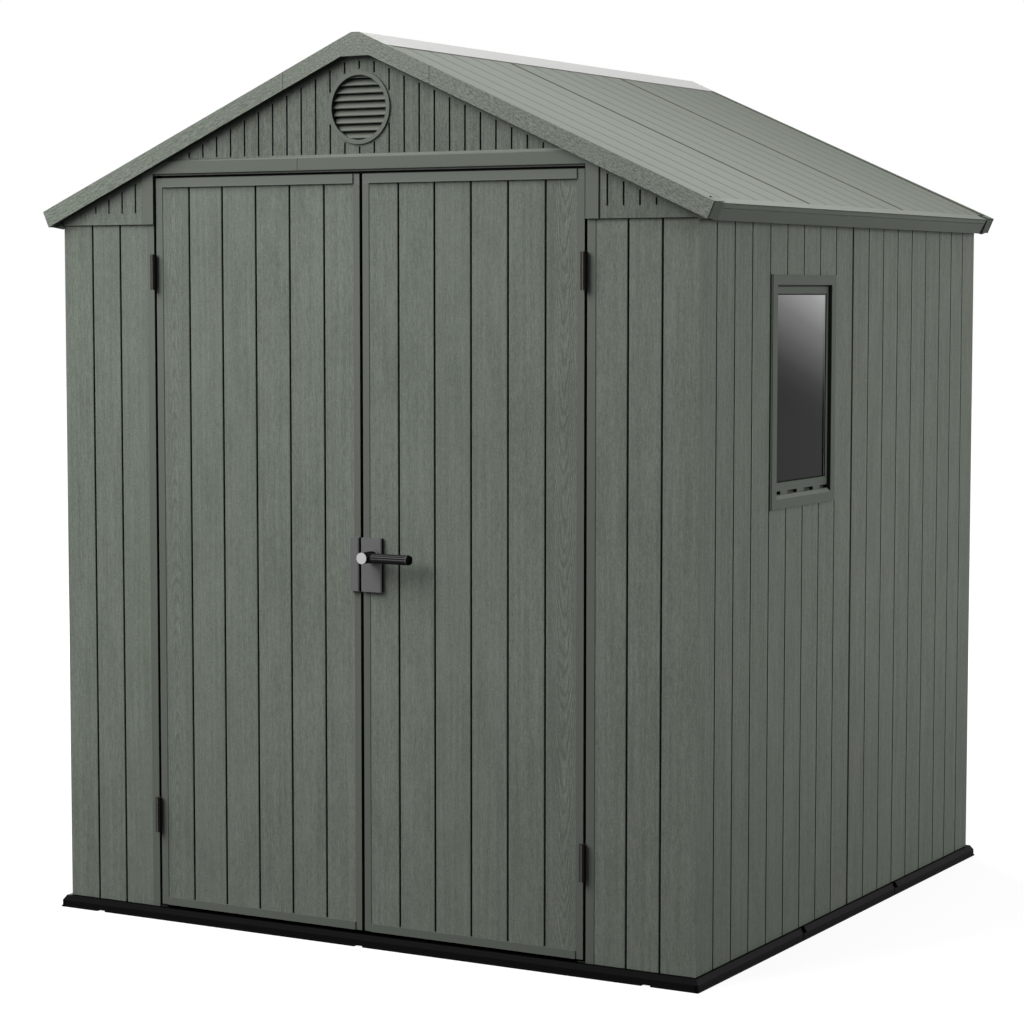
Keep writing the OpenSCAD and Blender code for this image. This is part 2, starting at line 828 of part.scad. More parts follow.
// door side of one right-hand hinge: the middle knuckle and a leaf on the door
module hinge_door(zc) {
  k = hinge_len / 2;
  m = hinge_len * 0.23;
  translate([hinge_x, hinge_y, zc]) {
    difference() {
      union() {
        translate([0, 0, -m])
          cylinder(h = 2 * m, r = hinge_r);
        translate([door_half - hinge_x, 4.2, -m])
          cube([1.8, 5, 2 * m]);
      }
      translate([0, 0, -m - 1])
        cylinder(h = 2 * m + 2, r = 3.1);
    }
    translate([door_half - hinge_x, 8.6, -k])
      cube([1.8, 18, hinge_len]);
  }
}

module hinge_frame_halves() {
  color(col_hinge)
    for (z = hinge_zs) {
      hinge_frame(z);
      mirror([1, 0, 0]) hinge_frame(z);
    }
}

module right_door_hinge_halves() {
  color(col_hinge)
    for (z = hinge_zs)
      hinge_door(z);
}

module left_door_hinge_halves() {
  color(col_hinge)
    mirror([1, 0, 0])
      for (z = hinge_zs)
        hinge_door(z);
}

// lock plate between two positions across the doors, its upright edges bevelled
module lock_plate(x0, x1) {
  translate([0, face_y - stile_proud, plate_z - plate_h / 2])
    linear_extrude(height = plate_h)
      polygon([[x0, 0], [x0, -plate_t + 2], [x0 + 2, -plate_t],
        [x1 - 2.5, -plate_t], [x1, -plate_t + 2.5], [x1, 0]]);
}

// keeper plate on the left door
module left_lock_plate() {
  color(col_plate) lock_plate(-30, -3.5);
}

// lock plate on the right door with the collar and bore that the lever turns in
module right_lock_plate() {
  y1 = face_y - stile_proud;
  color(col_plate)
    difference() {
      union() {
        lock_plate(3.5, 61);
        translate([lever_x, y1 - plate_t + 0.5, lever_z])
          rotate([90, 0, 0])
            cylinder(h = 4.5, r = 18.5);
      }
      translate([lever_x, y1 - 1.5, lever_z])
        rotate([90, 0, 0])
          cylinder(h = 30, r = 6.1);
    }
}

// lever handle: spindle, hub, eight-sided bar and its round end
module lever_handle() {
  y1 = face_y - stile_proud - plate_t;
  color(col_black) {
    translate([lever_x, y1 - 4.3, lever_z])
      rotate([90, 0, 0])
        cylinder(h = 46.7, r = 13.8);
    translate([lever_x, y1 + 6, lever_z])
      rotate([90, 0, 0])
        cylinder(h = 12, r = 6);
    translate([lever_x, y1 - 38.5, lever_z])
      rotate([90, 0, 90])
        linear_extrude(height = lever_len - 5)
          polygon([for (i = [0 : 7])
            12.6 * [cos(45 * i + 22.5), sin(45 * i + 22.5)]]);
    translate([lever_x + lever_len - 5.5, y1 - 38.5, lever_z])
      rotate([0, 90, 0])
        cylinder(h = 5.5, r1 = 12.4, r2 = 10.6);
  }
}

// pale disc on the end of the lever's hub
module lever_cap() {
  color(col_disc)
    translate([lever_x, face_y - stile_proud - plate_t - 51, lever_z])
      rotate([90, 0, 0])
        cylinder(h = 2, r = 13.8);
}

floor_front();
floor_middle();
floor_rear();
front_left_panel();
front_right_panel();
right_wall_front();
right_wall_rear();
left_wall_front();
left_wall_rear();
rear_left_panel();
rear_right_panel();
gable_left_wing();
gable_right_wing();
door_head_frame();
front_gable();
rear_gable();
gable_vent();
roof_left_front();
roof_left_middle();
roof_left_rear();
roof_right_front();
roof_right_middle();
roof_right_rear();
ridge_skylight();
front_barge_left();
front_barge_peak();
front_barge_right();
rear_barge_left();
rear_barge_peak();
rear_barge_right();
left_eave_strip();
right_eave_strip();
window_frame();
window_sash();
window_pane();
hinge_frame_halves();
left_door();
left_door_hinge_halves();
left_lock_plate();
right_door();
right_door_hinge_halves();
right_lock_plate();
lever_handle();
lever_cap();
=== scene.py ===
# %% [markdown]
# A moulded resin garden shed
#
# The shed is made of hollow resin panels that click together: grooved wall boards with
# a pressed wood grain, smooth trims round the doors and the window, ribbed roof panels,
# a pale strip along the ridge that lets daylight in, and a black base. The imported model
# holds every part at its true place, so this lesson only adds what makes it look real:
# the finishes, a few small parts, the light and the camera.

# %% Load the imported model
import math
import bpy
from mathutils import Matrix, Vector


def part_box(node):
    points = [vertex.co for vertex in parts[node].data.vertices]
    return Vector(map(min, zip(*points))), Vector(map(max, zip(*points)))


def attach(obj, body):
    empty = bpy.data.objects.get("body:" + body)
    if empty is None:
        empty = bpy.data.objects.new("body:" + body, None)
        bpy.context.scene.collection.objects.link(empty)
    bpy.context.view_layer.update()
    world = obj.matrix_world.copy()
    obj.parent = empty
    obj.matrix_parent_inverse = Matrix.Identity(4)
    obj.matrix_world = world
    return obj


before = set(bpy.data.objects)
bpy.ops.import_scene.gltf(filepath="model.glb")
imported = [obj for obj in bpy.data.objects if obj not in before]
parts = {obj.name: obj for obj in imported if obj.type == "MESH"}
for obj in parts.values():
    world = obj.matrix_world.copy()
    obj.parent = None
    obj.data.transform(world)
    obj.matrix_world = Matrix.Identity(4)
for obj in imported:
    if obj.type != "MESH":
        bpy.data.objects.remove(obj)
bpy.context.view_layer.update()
scene = bpy.context.scene
MM = 0.001

print("parts in the frame:", len(parts))

# %% [markdown]
# The shape of the shed in a few numbers
#
# Patterns have to line up with the panels: the grain changes at every groove, and the
# grooves are darker than the faces. Typing positions twice is how patterns drift, so the
# outer planes are read from the boxes of the parts, and only what a box can't tell, such
# as the groove spacing, is written here.

# %% Planes of the walls and the base
wall_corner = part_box("right_wall_front")[1]
wall_x = wall_corner.x                     # outer face of the side walls
side_joint = wall_corner.y                 # where a side wall's two panels meet
front_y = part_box("right_door")[0].y + 4.5 * MM   # board faces beside and on the doors
gable_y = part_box("front_gable")[0].y       # board face above the doors
rear_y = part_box("rear_left_panel")[1].y
base_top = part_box("floor_front")[1].z
door_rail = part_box("right_door")[1].z - 23 * MM  # lower edge of the doors' top rail
jamb_edge = 617.9 * MM                     # side of the opening that the doors fill
beam_top = 1925 * MM                       # top of the beam over the doors
window_low, window_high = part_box("window_frame")
pane_low, pane_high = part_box("window_pane")
vent_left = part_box("gable_vent")[0].x
lever_low, lever_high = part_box("lever_handle")
print("outer faces, side and front:", round(wall_x, 4), round(front_y, 4))

# %% Slope of the roof
barge_low, barge_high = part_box("front_barge_right")
barge_face = abs(barge_low.y)              # outer face of the barge boards
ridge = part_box("front_barge_peak")[1].z
ridge_flat = 11 * MM                       # half of the level part of the ridge
roof_half, eave_height = barge_high.x, 1803 * MM
strip_edge = 88 * MM                       # where the roof panels start below the ridge
fall = math.atan2(ridge - eave_height, roof_half - ridge_flat)
roof_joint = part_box("roof_right_middle")[1].y
first_grooves = -811.2 * MM, -197 * MM, 414 * MM   # on the front, middle, rear panel
print("roof slope in degrees:", round(math.degrees(fall), 1))

# %% Grooves of the walls, counted from the middle of the shed or from its front
door_grooves = [(106.1 + 100.4 * i) * MM for i in range(5)]
front_grooves = [x * MM for x in (638.5, 723.3, 810.8)]
side_grooves = [front_y + s * MM for s in (93, 190, 287, 389, 488, 587, 687, 786)]
side_grooves += [side_joint + s * MM
                 for s in (0, 106.5, 205.5, 304.5, 404.5, 504.5, 607.5, 695.5, 782.5)]
rear_grooves = [100.22 * i * MM for i in range(1, 9)]
print("grooves on a side wall:", len(side_grooves))

# %% [markdown]
# Helpers for materials
#
# A material in Blender is a small graph, and each sum in it is a node with its links.
# Placing those by hand is easy to do and hard to read back. Here a number that varies
# over a surface is an Amount, and Python's own signs put the nodes down: two amounts can
# be added or multiplied, and comparing them gives a mask that is 1 or 0. Masks multiplied
# mean all of them at once, and a bar between masks means any of them.

# %% Nodes and sums
def put(tree, kind, inputs=None, **settings):
    """Puts a node down, joins or sets its inputs, and returns it."""
    node = tree.nodes.new("ShaderNode" + kind)
    for name, value in settings.items():
        setattr(node, name, value)
    for name, value in (inputs or {}).items():
        plug(node.inputs[name], value)
    return node


def plug(socket, value):
    """Joins a socket to another one, or gives it a fixed value."""
    if isinstance(value, Amount):
        value = value.socket
    if isinstance(value, bpy.types.NodeSocket):
        socket.id_data.links.new(value, socket)
    else:
        socket.default_value = value


def maths(tree, operation, *values, clamp=False):
    """One sum on one to three values."""
    node = put(tree, "Math", dict(enumerate(values)), operation=operation,
               use_clamp=clamp)
    return Amount(node.outputs[0])


class Amount:
    """A number or a place that varies over a surface."""

    def __init__(self, socket):
        self.socket, self.tree = socket, socket.id_data

    def sum(self, operation, *others):
        return maths(self.tree, operation, self, *others)

    def scaled(self, factor, plus):
        """Times a factor, plus a number, in one node."""
        return self.sum("MULTIPLY_ADD", factor, plus)

    def __add__(self, other):
        return self.sum("ADD", other)

    def __sub__(self, other):
        return self.sum("SUBTRACT", other)

    def __rsub__(self, other):
        return maths(self.tree, "SUBTRACT", other, self)

    def __mul__(self, other):
        return self.sum("MULTIPLY", other)

    def __pow__(self, other):
        return self.sum("POWER", other)

    def __abs__(self):
        return self.sum("ABSOLUTE")

    def __gt__(self, other):
        return self.sum("GREATER_THAN", other)

    def __lt__(self, other):
        return self.sum("LESS_THAN", other)

    def __or__(self, other):
        return self.sum("MAXIMUM", other)


def amounts(sockets):
    """A node's outputs by name."""
    return {socket.name: Amount(socket) for socket in sockets}


def split(vector):
    """The x, y and z of a place or a direction."""
    node = put(vector.tree, "SeparateXYZ", {"Vector": vector})
    return [Amount(socket) for socket in node.outputs]


def between(amount, low, high):
    """1 where an amount lies between two numbers, else 0."""
    return (amount > low) * (amount < high)


def ramp(amount, low, high, start=0.0, end=1.0, smooth=True):
    """Turns an amount between low and high into start to end, flat beyond them."""
    node = put(amount.tree, "MapRange",
               {"Value": amount, "From Min": low, "From Max": high, "To Min": start,
                "To Max": end}, interpolation_type="SMOOTHSTEP" if smooth else "LINEAR")
    return Amount(node.outputs["Result"])


# %% Colours
def colour(red, green, blue):
    """A colour given from 0 to 255, as a paint chart gives it, in linear light."""
    def linear(v):
        v /= 255
        return v / 12.92 if v <= 0.04045 else ((v + 0.055) / 1.055) ** 2.4
    return (linear(red), linear(green), linear(blue), 1)


def blend(amount, first, second):
    """Lays the second colour over the first by an amount from 0 to 1."""
    node = put(amount.tree, "Mix", data_type="RGBA")
    for index, value in ((0, amount), (6, first), (7, second)):
        plug(node.inputs[index], value)
    return node.outputs[2]


def shades(amount, low, high):
    """From one paint-chart colour to another as an amount goes from 0 to 1."""
    return blend(amount, colour(*low), colour(*high))


def paint(tint, mask, strength, *chart):
    """Lays a paint-chart colour over the tint where the mask is 1."""
    return blend(mask * strength, tint, colour(*chart))


print("a mid resin green in linear light:", [round(v, 3) for v in colour(108, 115, 106)])

# %% [markdown]
# Effects as node groups
#
# The same press made every board, so the wood grain, the dark bottom of a groove and the
# fine skin of smooth resin appear in many finishes. Each is built once as a node group
# with named inputs and outputs, and each finish sets its own values.

# %% Helpers for node groups
def node_group(name, inputs, outputs):
    """Turns the recipe that follows into a node group with these inputs and outputs."""
    def build(recipe):
        tree = bpy.data.node_groups.new(name, "ShaderNodeTree")
        new_socket = tree.interface.new_socket
        for label, value in inputs.items():
            kind = "NodeSocketVector" if isinstance(value, tuple) else "NodeSocketFloat"
            socket = new_socket(label, in_out="INPUT", socket_type=kind)
            socket.default_value = value
        for label in outputs:
            new_socket(label, in_out="OUTPUT", socket_type="NodeSocketFloat")
        given = amounts(tree.nodes.new("NodeGroupInput").outputs)
        recipe(tree, given, tree.nodes.new("NodeGroupOutput").inputs)
        print("nodes in", name, "-", len(tree.nodes))
        return tree
    return build


def use_group(tree, group, values):
    """Places a group in a material and returns its outputs by name."""
    node = tree.nodes.new("ShaderNodeGroup")
    node.node_tree = group
    for name, value in values.items():
        plug(node.inputs[name], value)
    return amounts(node.outputs)


def stretched_noise(x, y, z, x_scale, y_scale, detail=2.0, rough=0.5):
    """Noise stretched along one way, as fibres are: scales are in marks per metre."""
    place = put(x.tree, "CombineXYZ", {"X": x * x_scale, "Y": y * y_scale, "Z": z})
    noise = put(x.tree, "TexNoise", {"Vector": place.outputs[0], "Scale": 1.0,
                                     "Detail": detail, "Roughness": rough})
    return Amount(noise.outputs["Fac"])


def add_marks(figure, marks, weight):
    """Adds noise to a figure, as much lighter as darker."""
    return (marks - 0.5).scaled(weight, figure)


print("group helpers ready")

# %% [markdown]
# Pressed wood grain
#
# On the real shed the mould is etched with a wood figure: fine fibres a millimetre or two
# wide and a centimetre or two long, soft streaks that run the length of a board, and on
# some boards the pointed arches of a plain-sawn plank. A wave texture would repeat too
# evenly, so the fibres are stretched noise, and the arches are the level lines of a
# parabola that noise has pushed about. A board number picks which way the arches point,
# how strong they are and where they start. The group gives a figure for the colour and a
# relief for the bump, where the arches are cut deeper than the fibres.

# %% Group: wood grain
@node_group("wood grain",
            {"Across": 0.0, "Along": 0.0, "From Middle": 0.0, "Board": 0.0,
             "Arches": 0.5, "Sway": 0.014}, ["Figure", "Relief"])
def wood_grain(tree, given, out):
    board = given["Board"].scaled(3.17, 0.5)
    luck = put(tree, "TexWhiteNoise", {"W": board}, noise_dimensions="1D")
    chance = put(tree, "SeparateColor", {"Color": luck.outputs["Color"]})
    begin, way, strength = [Amount(socket) for socket in chance.outputs]
    along = begin.scaled(9.0, given["Along"])

    sway = stretched_noise(given["Across"], along, board, 9, 2.2, 1.0)
    across = sway.scaled(given["Sway"], given["Across"])
    fibres = stretched_noise(across, along, board, 430, 42, 1.5, 0.6)
    pores = stretched_noise(across, along, board, 560, 190, 1.0)
    streaks = stretched_noise(across, along, board, 120, 2.4)
    clouds = stretched_noise(across, along, board, 24, 7.0, 1.0)

    # the arches: a parabola across the board, moved along by the board's length
    arches_per_metre, steepness, full_turn = 19.0, 5200.0, 6.283
    level = along * ((way > 0.5).scaled(2.0, -1.0) * arches_per_metre)
    level = (abs(given["From Middle"]) ** 2.0).scaled(steepness, level)
    push = stretched_noise(given["Across"], along, board, 26, 6.0)
    level = push.scaled(3.2, level)
    lines = (level * full_turn).sum("SINE").scaled(0.5, 0.5) ** 2.6
    broken = ramp(fibres, 0.38, 0.6)
    arches = lines * broken * (given["Arches"] * strength.scaled(0.6, 0.4))

    figure = 0.5
    for marks, weight in ((fibres, 1.45), (pores, 1.45), (streaks, 0.85), (clouds, 0.5)):
        figure = add_marks(figure, marks, weight)
    plug(out["Figure"], arches.scaled(-0.5, figure))
    relief = add_marks(add_marks(0.5, fibres, 0.8), pores, 0.4)
    plug(out["Relief"], arches.scaled(-1.6, relief))

# %% [markdown]
# Coarse grain of the barge boards
#
# The boards along the gable edges carry a rougher, almost woven figure: short dark
# dashes along the slope, crossed by a faint weave. The same stretched noise does it with
# shorter marks, and it follows the slope because its two inputs are measured along the
# slope and square to it.

# %% Group: coarse grain
@node_group("coarse grain", {"Across": 0.0, "Along": 0.0, "Seed": 0.0}, ["Figure"])
def coarse_grain(tree, given, out):
    dashes, long_marks, weave = (500, 105, 2.0, 0.65), (300, 11, 1.0), (230, 420, 1.0)
    figure = 0.5
    for marks, weight in ((dashes, 2.8), (long_marks, 0.6), (weave, 1.5)):
        noise = stretched_noise(given["Across"], given["Along"], given["Seed"], *marks)
        figure = add_marks(figure, noise, weight)
    plug(out["Figure"], figure)

# %% [markdown]
# Grooves, counted and shaded
#
# Light hardly reaches the bottom of a narrow groove, so its bottom gets painted shade, a
# near-black colour. The depth below the board face tells where the groove is, so no
# second pattern has to be kept in step with the shape. The lip of a groove is bevelled,
# and a thin painted highlight, a brighter band just below the face, stands for the light
# that its bevel catches. Counting the grooves that lie to one side of a point gives the
# board number that the grain asks for.

# %% Group: groove shade, and the board counter
@node_group("groove shade", {"Depth": 0.0, "Lip": 0.0009, "Bottom": 0.0095},
            ["Dark", "Lip Light"])
def groove_shade(tree, given, out):
    depth, lip = given["Depth"], given["Lip"]
    inside = depth < given["Bottom"]
    # Dark masks the painted shade at a groove's bottom, Lip Light the painted highlight
    # on its lip
    dark = ramp(depth, lip * 0.7, lip)
    plug(out["Dark"], dark * inside)
    plug(out["Lip Light"], (depth > 0.0001) * (1.0 - dark) * inside)


def count_boards(across, grooves):
    """The board number at a point, and its distance from the middle of its board."""
    edges = sorted(grooves)
    widths = [b - a for a, b in zip(edges, edges[1:])] + [0.1]
    first_middle = edges[0] - 0.05
    number, middle = 0.0, first_middle
    for edge, width in zip(edges, widths):
        past = across > edge
        number = past + number
        middle = past.scaled(edge + width / 2 - first_middle, middle)
        first_middle = edge + width / 2
    return number, across - middle

# %% [markdown]
# Soft shade below an edge
#
# Below a rail or a barge board the boards look darker over a few centimetres, as hardly
# any sky reaches there. The lamps give only part of that, so a group turns the distance
# below such an edge into a painted shade that fades out.

# %% Group: shade under an edge
@node_group("shade under an edge", {"Distance": 0.0, "Reach": 0.02}, ["Shade"])
def edge_shade(tree, given, out):
    far = maths(tree, "DIVIDE", given["Distance"], given["Reach"], clamp=True)
    near = 1.0 - far
    plug(out["Shade"], near * near * (given["Distance"] > -0.002))

# %% [markdown]
# The skin of smooth resin
#
# Trims, frames and the roof are smooth, but not like glass: the mould leaves a very fine
# pebble, and the colour drifts a little over a long part. Two sizes of noise give the
# colour and the roughness something to vary with.

# %% Group: resin skin
@node_group("resin skin", {"Place": (0.0, 0.0, 0.0), "Pebble Scale": 900.0},
            ["Pebble", "Drift"])
def resin_skin(tree, given, out):
    for label, scale, detail, rough in (("Pebble", given["Pebble Scale"], 1.0, 0.5),
                                        ("Drift", 2.6, 3.0, 0.55)):
        noise = put(tree, "TexNoise", {"Vector": given["Place"], "Scale": scale,
                                       "Detail": detail, "Roughness": rough})
        plug(out[label], noise.outputs["Fac"])

# %% [markdown]
# One start for every finish
#
# All green parts are dyed in the mass with one grey-green. What differs is the surface:
# grained boards scatter light and look paler, smooth trims look a little darker. Each
# finish therefore starts from the same shader and the same skin, and knows where a point
# lies on the shed and which way the surface faces there.

# %% Start a finish
class Finish:
    """A material with its shader and skin, and the place and facing of each point."""

    def __init__(self, name, roughness, specular, pebble=900.0):
        self.material = bpy.data.materials.new(name)
        self.material.use_nodes = True
        self.tree = self.material.node_tree
        self.shader = self.tree.nodes["Principled BSDF"].inputs
        self.shader["Roughness"].default_value = roughness
        self.shader["Specular IOR Level"].default_value = specular
        found = amounts(put(self.tree, "TexCoord").outputs)
        self.place = found["Object"]
        self.x, self.y, self.z = split(self.place)
        self.face_x, self.face_y, self.face_z = split(found["Normal"])
        skin = self.use(resin_skin, {"Place": self.place, "Pebble Scale": pebble})
        self.pebble, self.drift = skin["Pebble"], skin["Drift"]

    def use(self, group, values):
        return use_group(self.tree, group, values)

    def forwards(self):
        """1 where the surface faces the front."""
        return self.face_y < -0.7

    def sideways(self):
        """1 where it faces left or right."""
        return abs(self.face_x) > 0.85

    def upwards(self):
        """Rises to 1 as it turns to the sky."""
        return ramp(self.face_z, 0.4, 0.7)

    def done(self, tint, height, strength, distance, rough=None):
        """Joins the colour, the small relief and the roughness to the shader."""
        plug(self.shader["Base Color"], tint)
        if rough is not None:
            plug(self.shader["Roughness"], rough)
        bump = put(self.tree, "Bump",
                   {"Height": height, "Strength": strength, "Distance": distance})
        plug(self.shader["Normal"], bump.outputs["Normal"])
        return self.material


def dress(material, *names):
    """Gives parts a finish, in every material slot they have."""
    for name in names:
        for slot in parts[name].material_slots:
            slot.material = material


# paint-chart colours that several finishes share: pale ones for painted highlights, dark
# ones for painted shade
highlight_pale, highlight_soft = (150, 156, 147), (128, 134, 125)
shade_green, corner_shade, gap_shade_black = (44, 49, 42), (24, 28, 22), (5, 7, 4)
print("finishes can be made")

# %% [markdown]
# Board finish
#
# One recipe serves the front, the side and the back walls, the doors and the gables. It
# needs to know which way is across the boards, where the face lies and where the grooves
# are. Anything that stands proud of the face, such as a door stile, is smooth, and so is
# the inside of the wall. Painted shade below edges and towards the foot, and marks that
# are mostly painted shade and highlights, are added where they apply.

# %% Board finish
def board_finish(name, axis, face, grooves, arches=0.4, last_arches=None, mirrored=True,
                 lip_light=0.0, lip=0.0018, shift=0.0, contrast=1.0, shade_edge=None,
                 tone=1.0, sway=0.014, splashed=0.0, marks=None):
    """axis is the one across the boards, face the place of the outer face."""
    on = Finish(name, roughness=0.68, specular=0.16, pebble=700.0)
    if axis == 1:                          # side walls: both faces, left and right
        across, depth = on.y, abs(face) - abs(on.x)
    else:
        across, depth = on.x, on.y.scaled(-1.0 if face > 0 else 1.0, abs(face))
    counted = abs(across) if mirrored else across
    number, from_middle = count_boards(counted, grooves) if grooves else (0.0, 0.5)
    amount = arches
    if last_arches is not None:
        amount = (counted > max(grooves)).scaled(last_arches - arches, arches)
    side = (across if mirrored else on.x) > 0.0
    boards_a_side = 31.0
    number = side.scaled(boards_a_side, number) + shift

    grain = on.use(wood_grain, {
        "Across": across, "Along": on.z, "From Middle": from_middle, "Board": number,
        "Arches": amount, "Sway": sway})
    shade = on.use(groove_shade, {"Depth": depth, "Lip": lip})
    face_band = 0.0008
    on_face = abs(depth) < face_band
    figure = (grain["Figure"] - 0.5) * on_face
    figure = figure.scaled(contrast, (on.drift - 0.5) * 0.5 + 0.5)
    dark, light = ([v * tone for v in colour(*chart)[:3]] + [1]
                   for chart in ((89, 96, 87), (117, 124, 115)))
    tint = blend(figure, dark, light)

    proud = depth < -face_band
    low_smooth = shades(on.drift, (86, 91, 84), (91, 96, 89))
    high_smooth = shades(on.drift, (92, 98, 91), (98, 103, 96))
    tint = blend(proud, tint, blend(ramp(on.z, 0.9, 1.6), low_smooth, high_smooth))
    if lip_light:
        # painted highlight on the bevelled lip of each groove
        tint = paint(tint, shade["Lip Light"], lip_light, 170, 176, 167)
    if shade_edge:
        distance = shade_edge[0](on)
        for reach, strength in shade_edge[1:]:
            under = on.use(edge_shade, {"Distance": distance, "Reach": reach})
            # painted shade below a rail or the barge boards
            tint = blend(under["Shade"] * strength * on_face, tint, colour(14, 17, 12))
    if splashed:
        # painted shade: the boards darken towards the foot, where less lamp light falls
        foot = ramp(on.z, 0.85, base_top) * on.drift.scaled(0.8, 0.6)
        tint = paint(tint, foot, splashed, *shade_green)
    if marks:
        tint = marks(on, tint, proud)
    # painted shade: the bottoms of the grooves are coloured near black
    tint = blend(shade["Dark"], tint, colour(12, 16, 11))
    relief = on.pebble.scaled(0.15, (grain["Relief"] - 0.5) * on_face)
    return on.done(tint, relief, strength=0.5, distance=0.0006,
                   rough=on.drift.scaled(0.14, 0.6))


# %% Shade and marks of the boards
def below_barge(on):
    """How far a point on a gable lies below the lower edge of the barge boards."""
    slope, barge_width = math.tan(fall), 40 * MM
    edge = ridge + ridge_flat * slope - barge_width / math.cos(fall)
    return edge - abs(on.x).scaled(slope, on.z)


def below_rail(on):
    """How far a point on a door lies below its top rail."""
    return door_rail - on.z


def shade_rightwards(on, tint):
    """Painted shade darkens the front towards its right-hand corner, where less light
    falls.
    """
    return paint(tint, ramp(on.x, -0.1, 0.9), 0.1, *shade_green)


def door_marks(on, tint, proud):
    """Painted shade at the gaps and the top, painted highlights on the top rail."""
    rail_top, rail_shade = 1883 * MM, 1881.6 * MM
    lip_top, lip_foot = 1862.4 * MM, 1861.2 * MM
    meeting_side, hinge_side = 5.2 * MM, 608.5 * MM
    rail = proud * (on.z > door_rail)
    # painted highlights on the top rail, lighter towards its lower edge
    tint = paint(tint, rail * ramp(on.z, rail_top, door_rail), 0.05, *highlight_pale)
    tint = paint(tint, rail * ramp(on.z, lip_top, lip_foot), 0.08, *highlight_pale)
    # painted shade along the top of the door, under the frame
    tint = paint(tint, on.z > rail_shade, 0.5, 20, 24, 18)
    out = abs(on.x)
    gap = (out < meeting_side) | (out > hinge_side)
    tint = shade_rightwards(on, tint)
    # painted shade: the sides at the gaps are coloured nearly black
    return paint(tint, on.sideways() * gap, 0.95, *gap_shade_black)


def front_marks(on, tint, proud):
    """Painted shade on the jamb sides, the foot and below the right barge board's end."""
    out = abs(on.x)
    corner = ramp(on.x, 0.70, 0.90) * ramp(on.z, 1.70, 1.765)
    tint = shade_rightwards(on, paint(tint, corner, 0.3, *corner_shade))
    # painted shade on the jamb sides and on the foot under the doors
    jamb = on.sideways() * (out < jamb_edge)
    foot = (out < jamb_edge - 0.4 * MM) * (on.z < base_top + 4 * MM)
    return paint(tint, jamb | foot, 0.9, *gap_shade_black)


def side_marks(on, tint, proud):
    """The panel joint gets painted shade, wider and blacker than a groove."""
    # painted shade in the joint
    return paint(tint, ramp(abs(on.y - side_joint), 6.6 * MM, 5.2 * MM), 0.95, 8, 10, 7)


def gable_marks(on, tint, proud):
    """Painted light and shade on the lower edge, painted shade by the post and right
    eave.
    """
    edge_height = 5.2 * MM
    post_gap = 650 * MM, 652.9 * MM
    wing = on.z < beam_top                 # the centre panel stands on the beam
    low = between(on.z, beam_top, beam_top + edge_height)
    lit_left = ramp(on.x, -0.55, 0.0)
    # painted highlight on the lower edge towards the left, painted shade towards the
    # right
    tint = paint(tint, low * lit_left, 0.4, *highlight_pale)
    tint = paint(tint, low * (1.0 - lit_left), 0.3, *corner_shade)
    # painted shade towards the right eave and in the gap beside the post
    tint = paint(tint, wing * ramp(on.x, 0.66, 0.90), 0.35, *corner_shade)
    return paint(tint, wing * between(on.x, *post_gap), 0.85, 10, 13, 9)


# %% Dress the boards
def dress_boards(names, label, axis, face, grooves, **how):
    """Makes a board finish and gives it to the parts named."""
    dress(board_finish(label, axis, face, grooves, **how), *names.split())


dress_boards("front_left_panel front_right_panel", "front boards", 0, front_y,
             front_grooves, shift=2, splashed=0.12, marks=front_marks)
dress_boards("left_door right_door", "door boards", 0, front_y, door_grooves,
             last_arches=1.6, shift=5, splashed=0.1, marks=door_marks,
             shade_edge=(below_rail, (0.005, 0.15), (0.024, 0.45)))
dress_boards("right_wall_front right_wall_rear left_wall_front left_wall_rear",
             "side boards", 1, wall_x, side_grooves, arches=0.35, mirrored=False,
             lip_light=0.75, lip=0.0007, shift=50, splashed=0.25, marks=side_marks)
dress_boards("rear_left_panel rear_right_panel", "rear boards", 0, rear_y, rear_grooves,
             shift=90, splashed=0.2)
gable_way = {"arches": 0.0, "contrast": 1.6, "sway": 0.004,
             "shade_edge": (below_barge, (0.011, 1.0), (0.05, 0.3))}
dress_boards("front_gable gable_right_wing", "gable boards", 0, gable_y, [], shift=7,
             tone=0.82, lip=0.0009, marks=gable_marks, **gable_way)
# the left wing is a lighter copy of the gable boards, as painted light from the left
dress_boards("gable_left_wing", "left wing boards", 0, gable_y, [], shift=8, tone=0.89,
             lip=0.0009, **gable_way)
dress_boards("rear_gable", "rear gable boards", 0, -gable_y, [], shift=9, tone=0.82,
             **gable_way)
print("board finishes:", len([m for m in bpy.data.materials if "boards" in m.name]))

# %% [markdown]
# Barge boards
#
# The grain follows the slope on both sides and lies level at the peak, so the boards need
# their own two directions. The distance along the slope grows with the distance from the
# middle, and the distance square to the slope is the height plus the fall of the roof at
# that point. Rounding the fall near the middle turns the grain level at the peak. Only
# the outer face is grained: the returns along the eaves are smooth with painted shade at
# their ends, the undersides get near-black painted shade, and the top is painted in the
# roof's paler colour, as painted light.

# %% Colour of resin that faces the sky
def roof_tint(on):
    """Slow streaks down the slope; painted light makes it pale, paler still at the front
    end.
    """
    streak = stretched_noise(on.y, abs(on.x), 3.0, 30, 1.6, 3.0, 0.6)
    mix = streak.scaled(0.6, on.drift * 0.4)
    near = shades(mix, (141, 147, 139), (151, 157, 148))
    far = shades(mix, (113, 119, 110), (123, 129, 120))
    return blend(ramp(on.y, -0.55, 0.8, smooth=False), near, far)


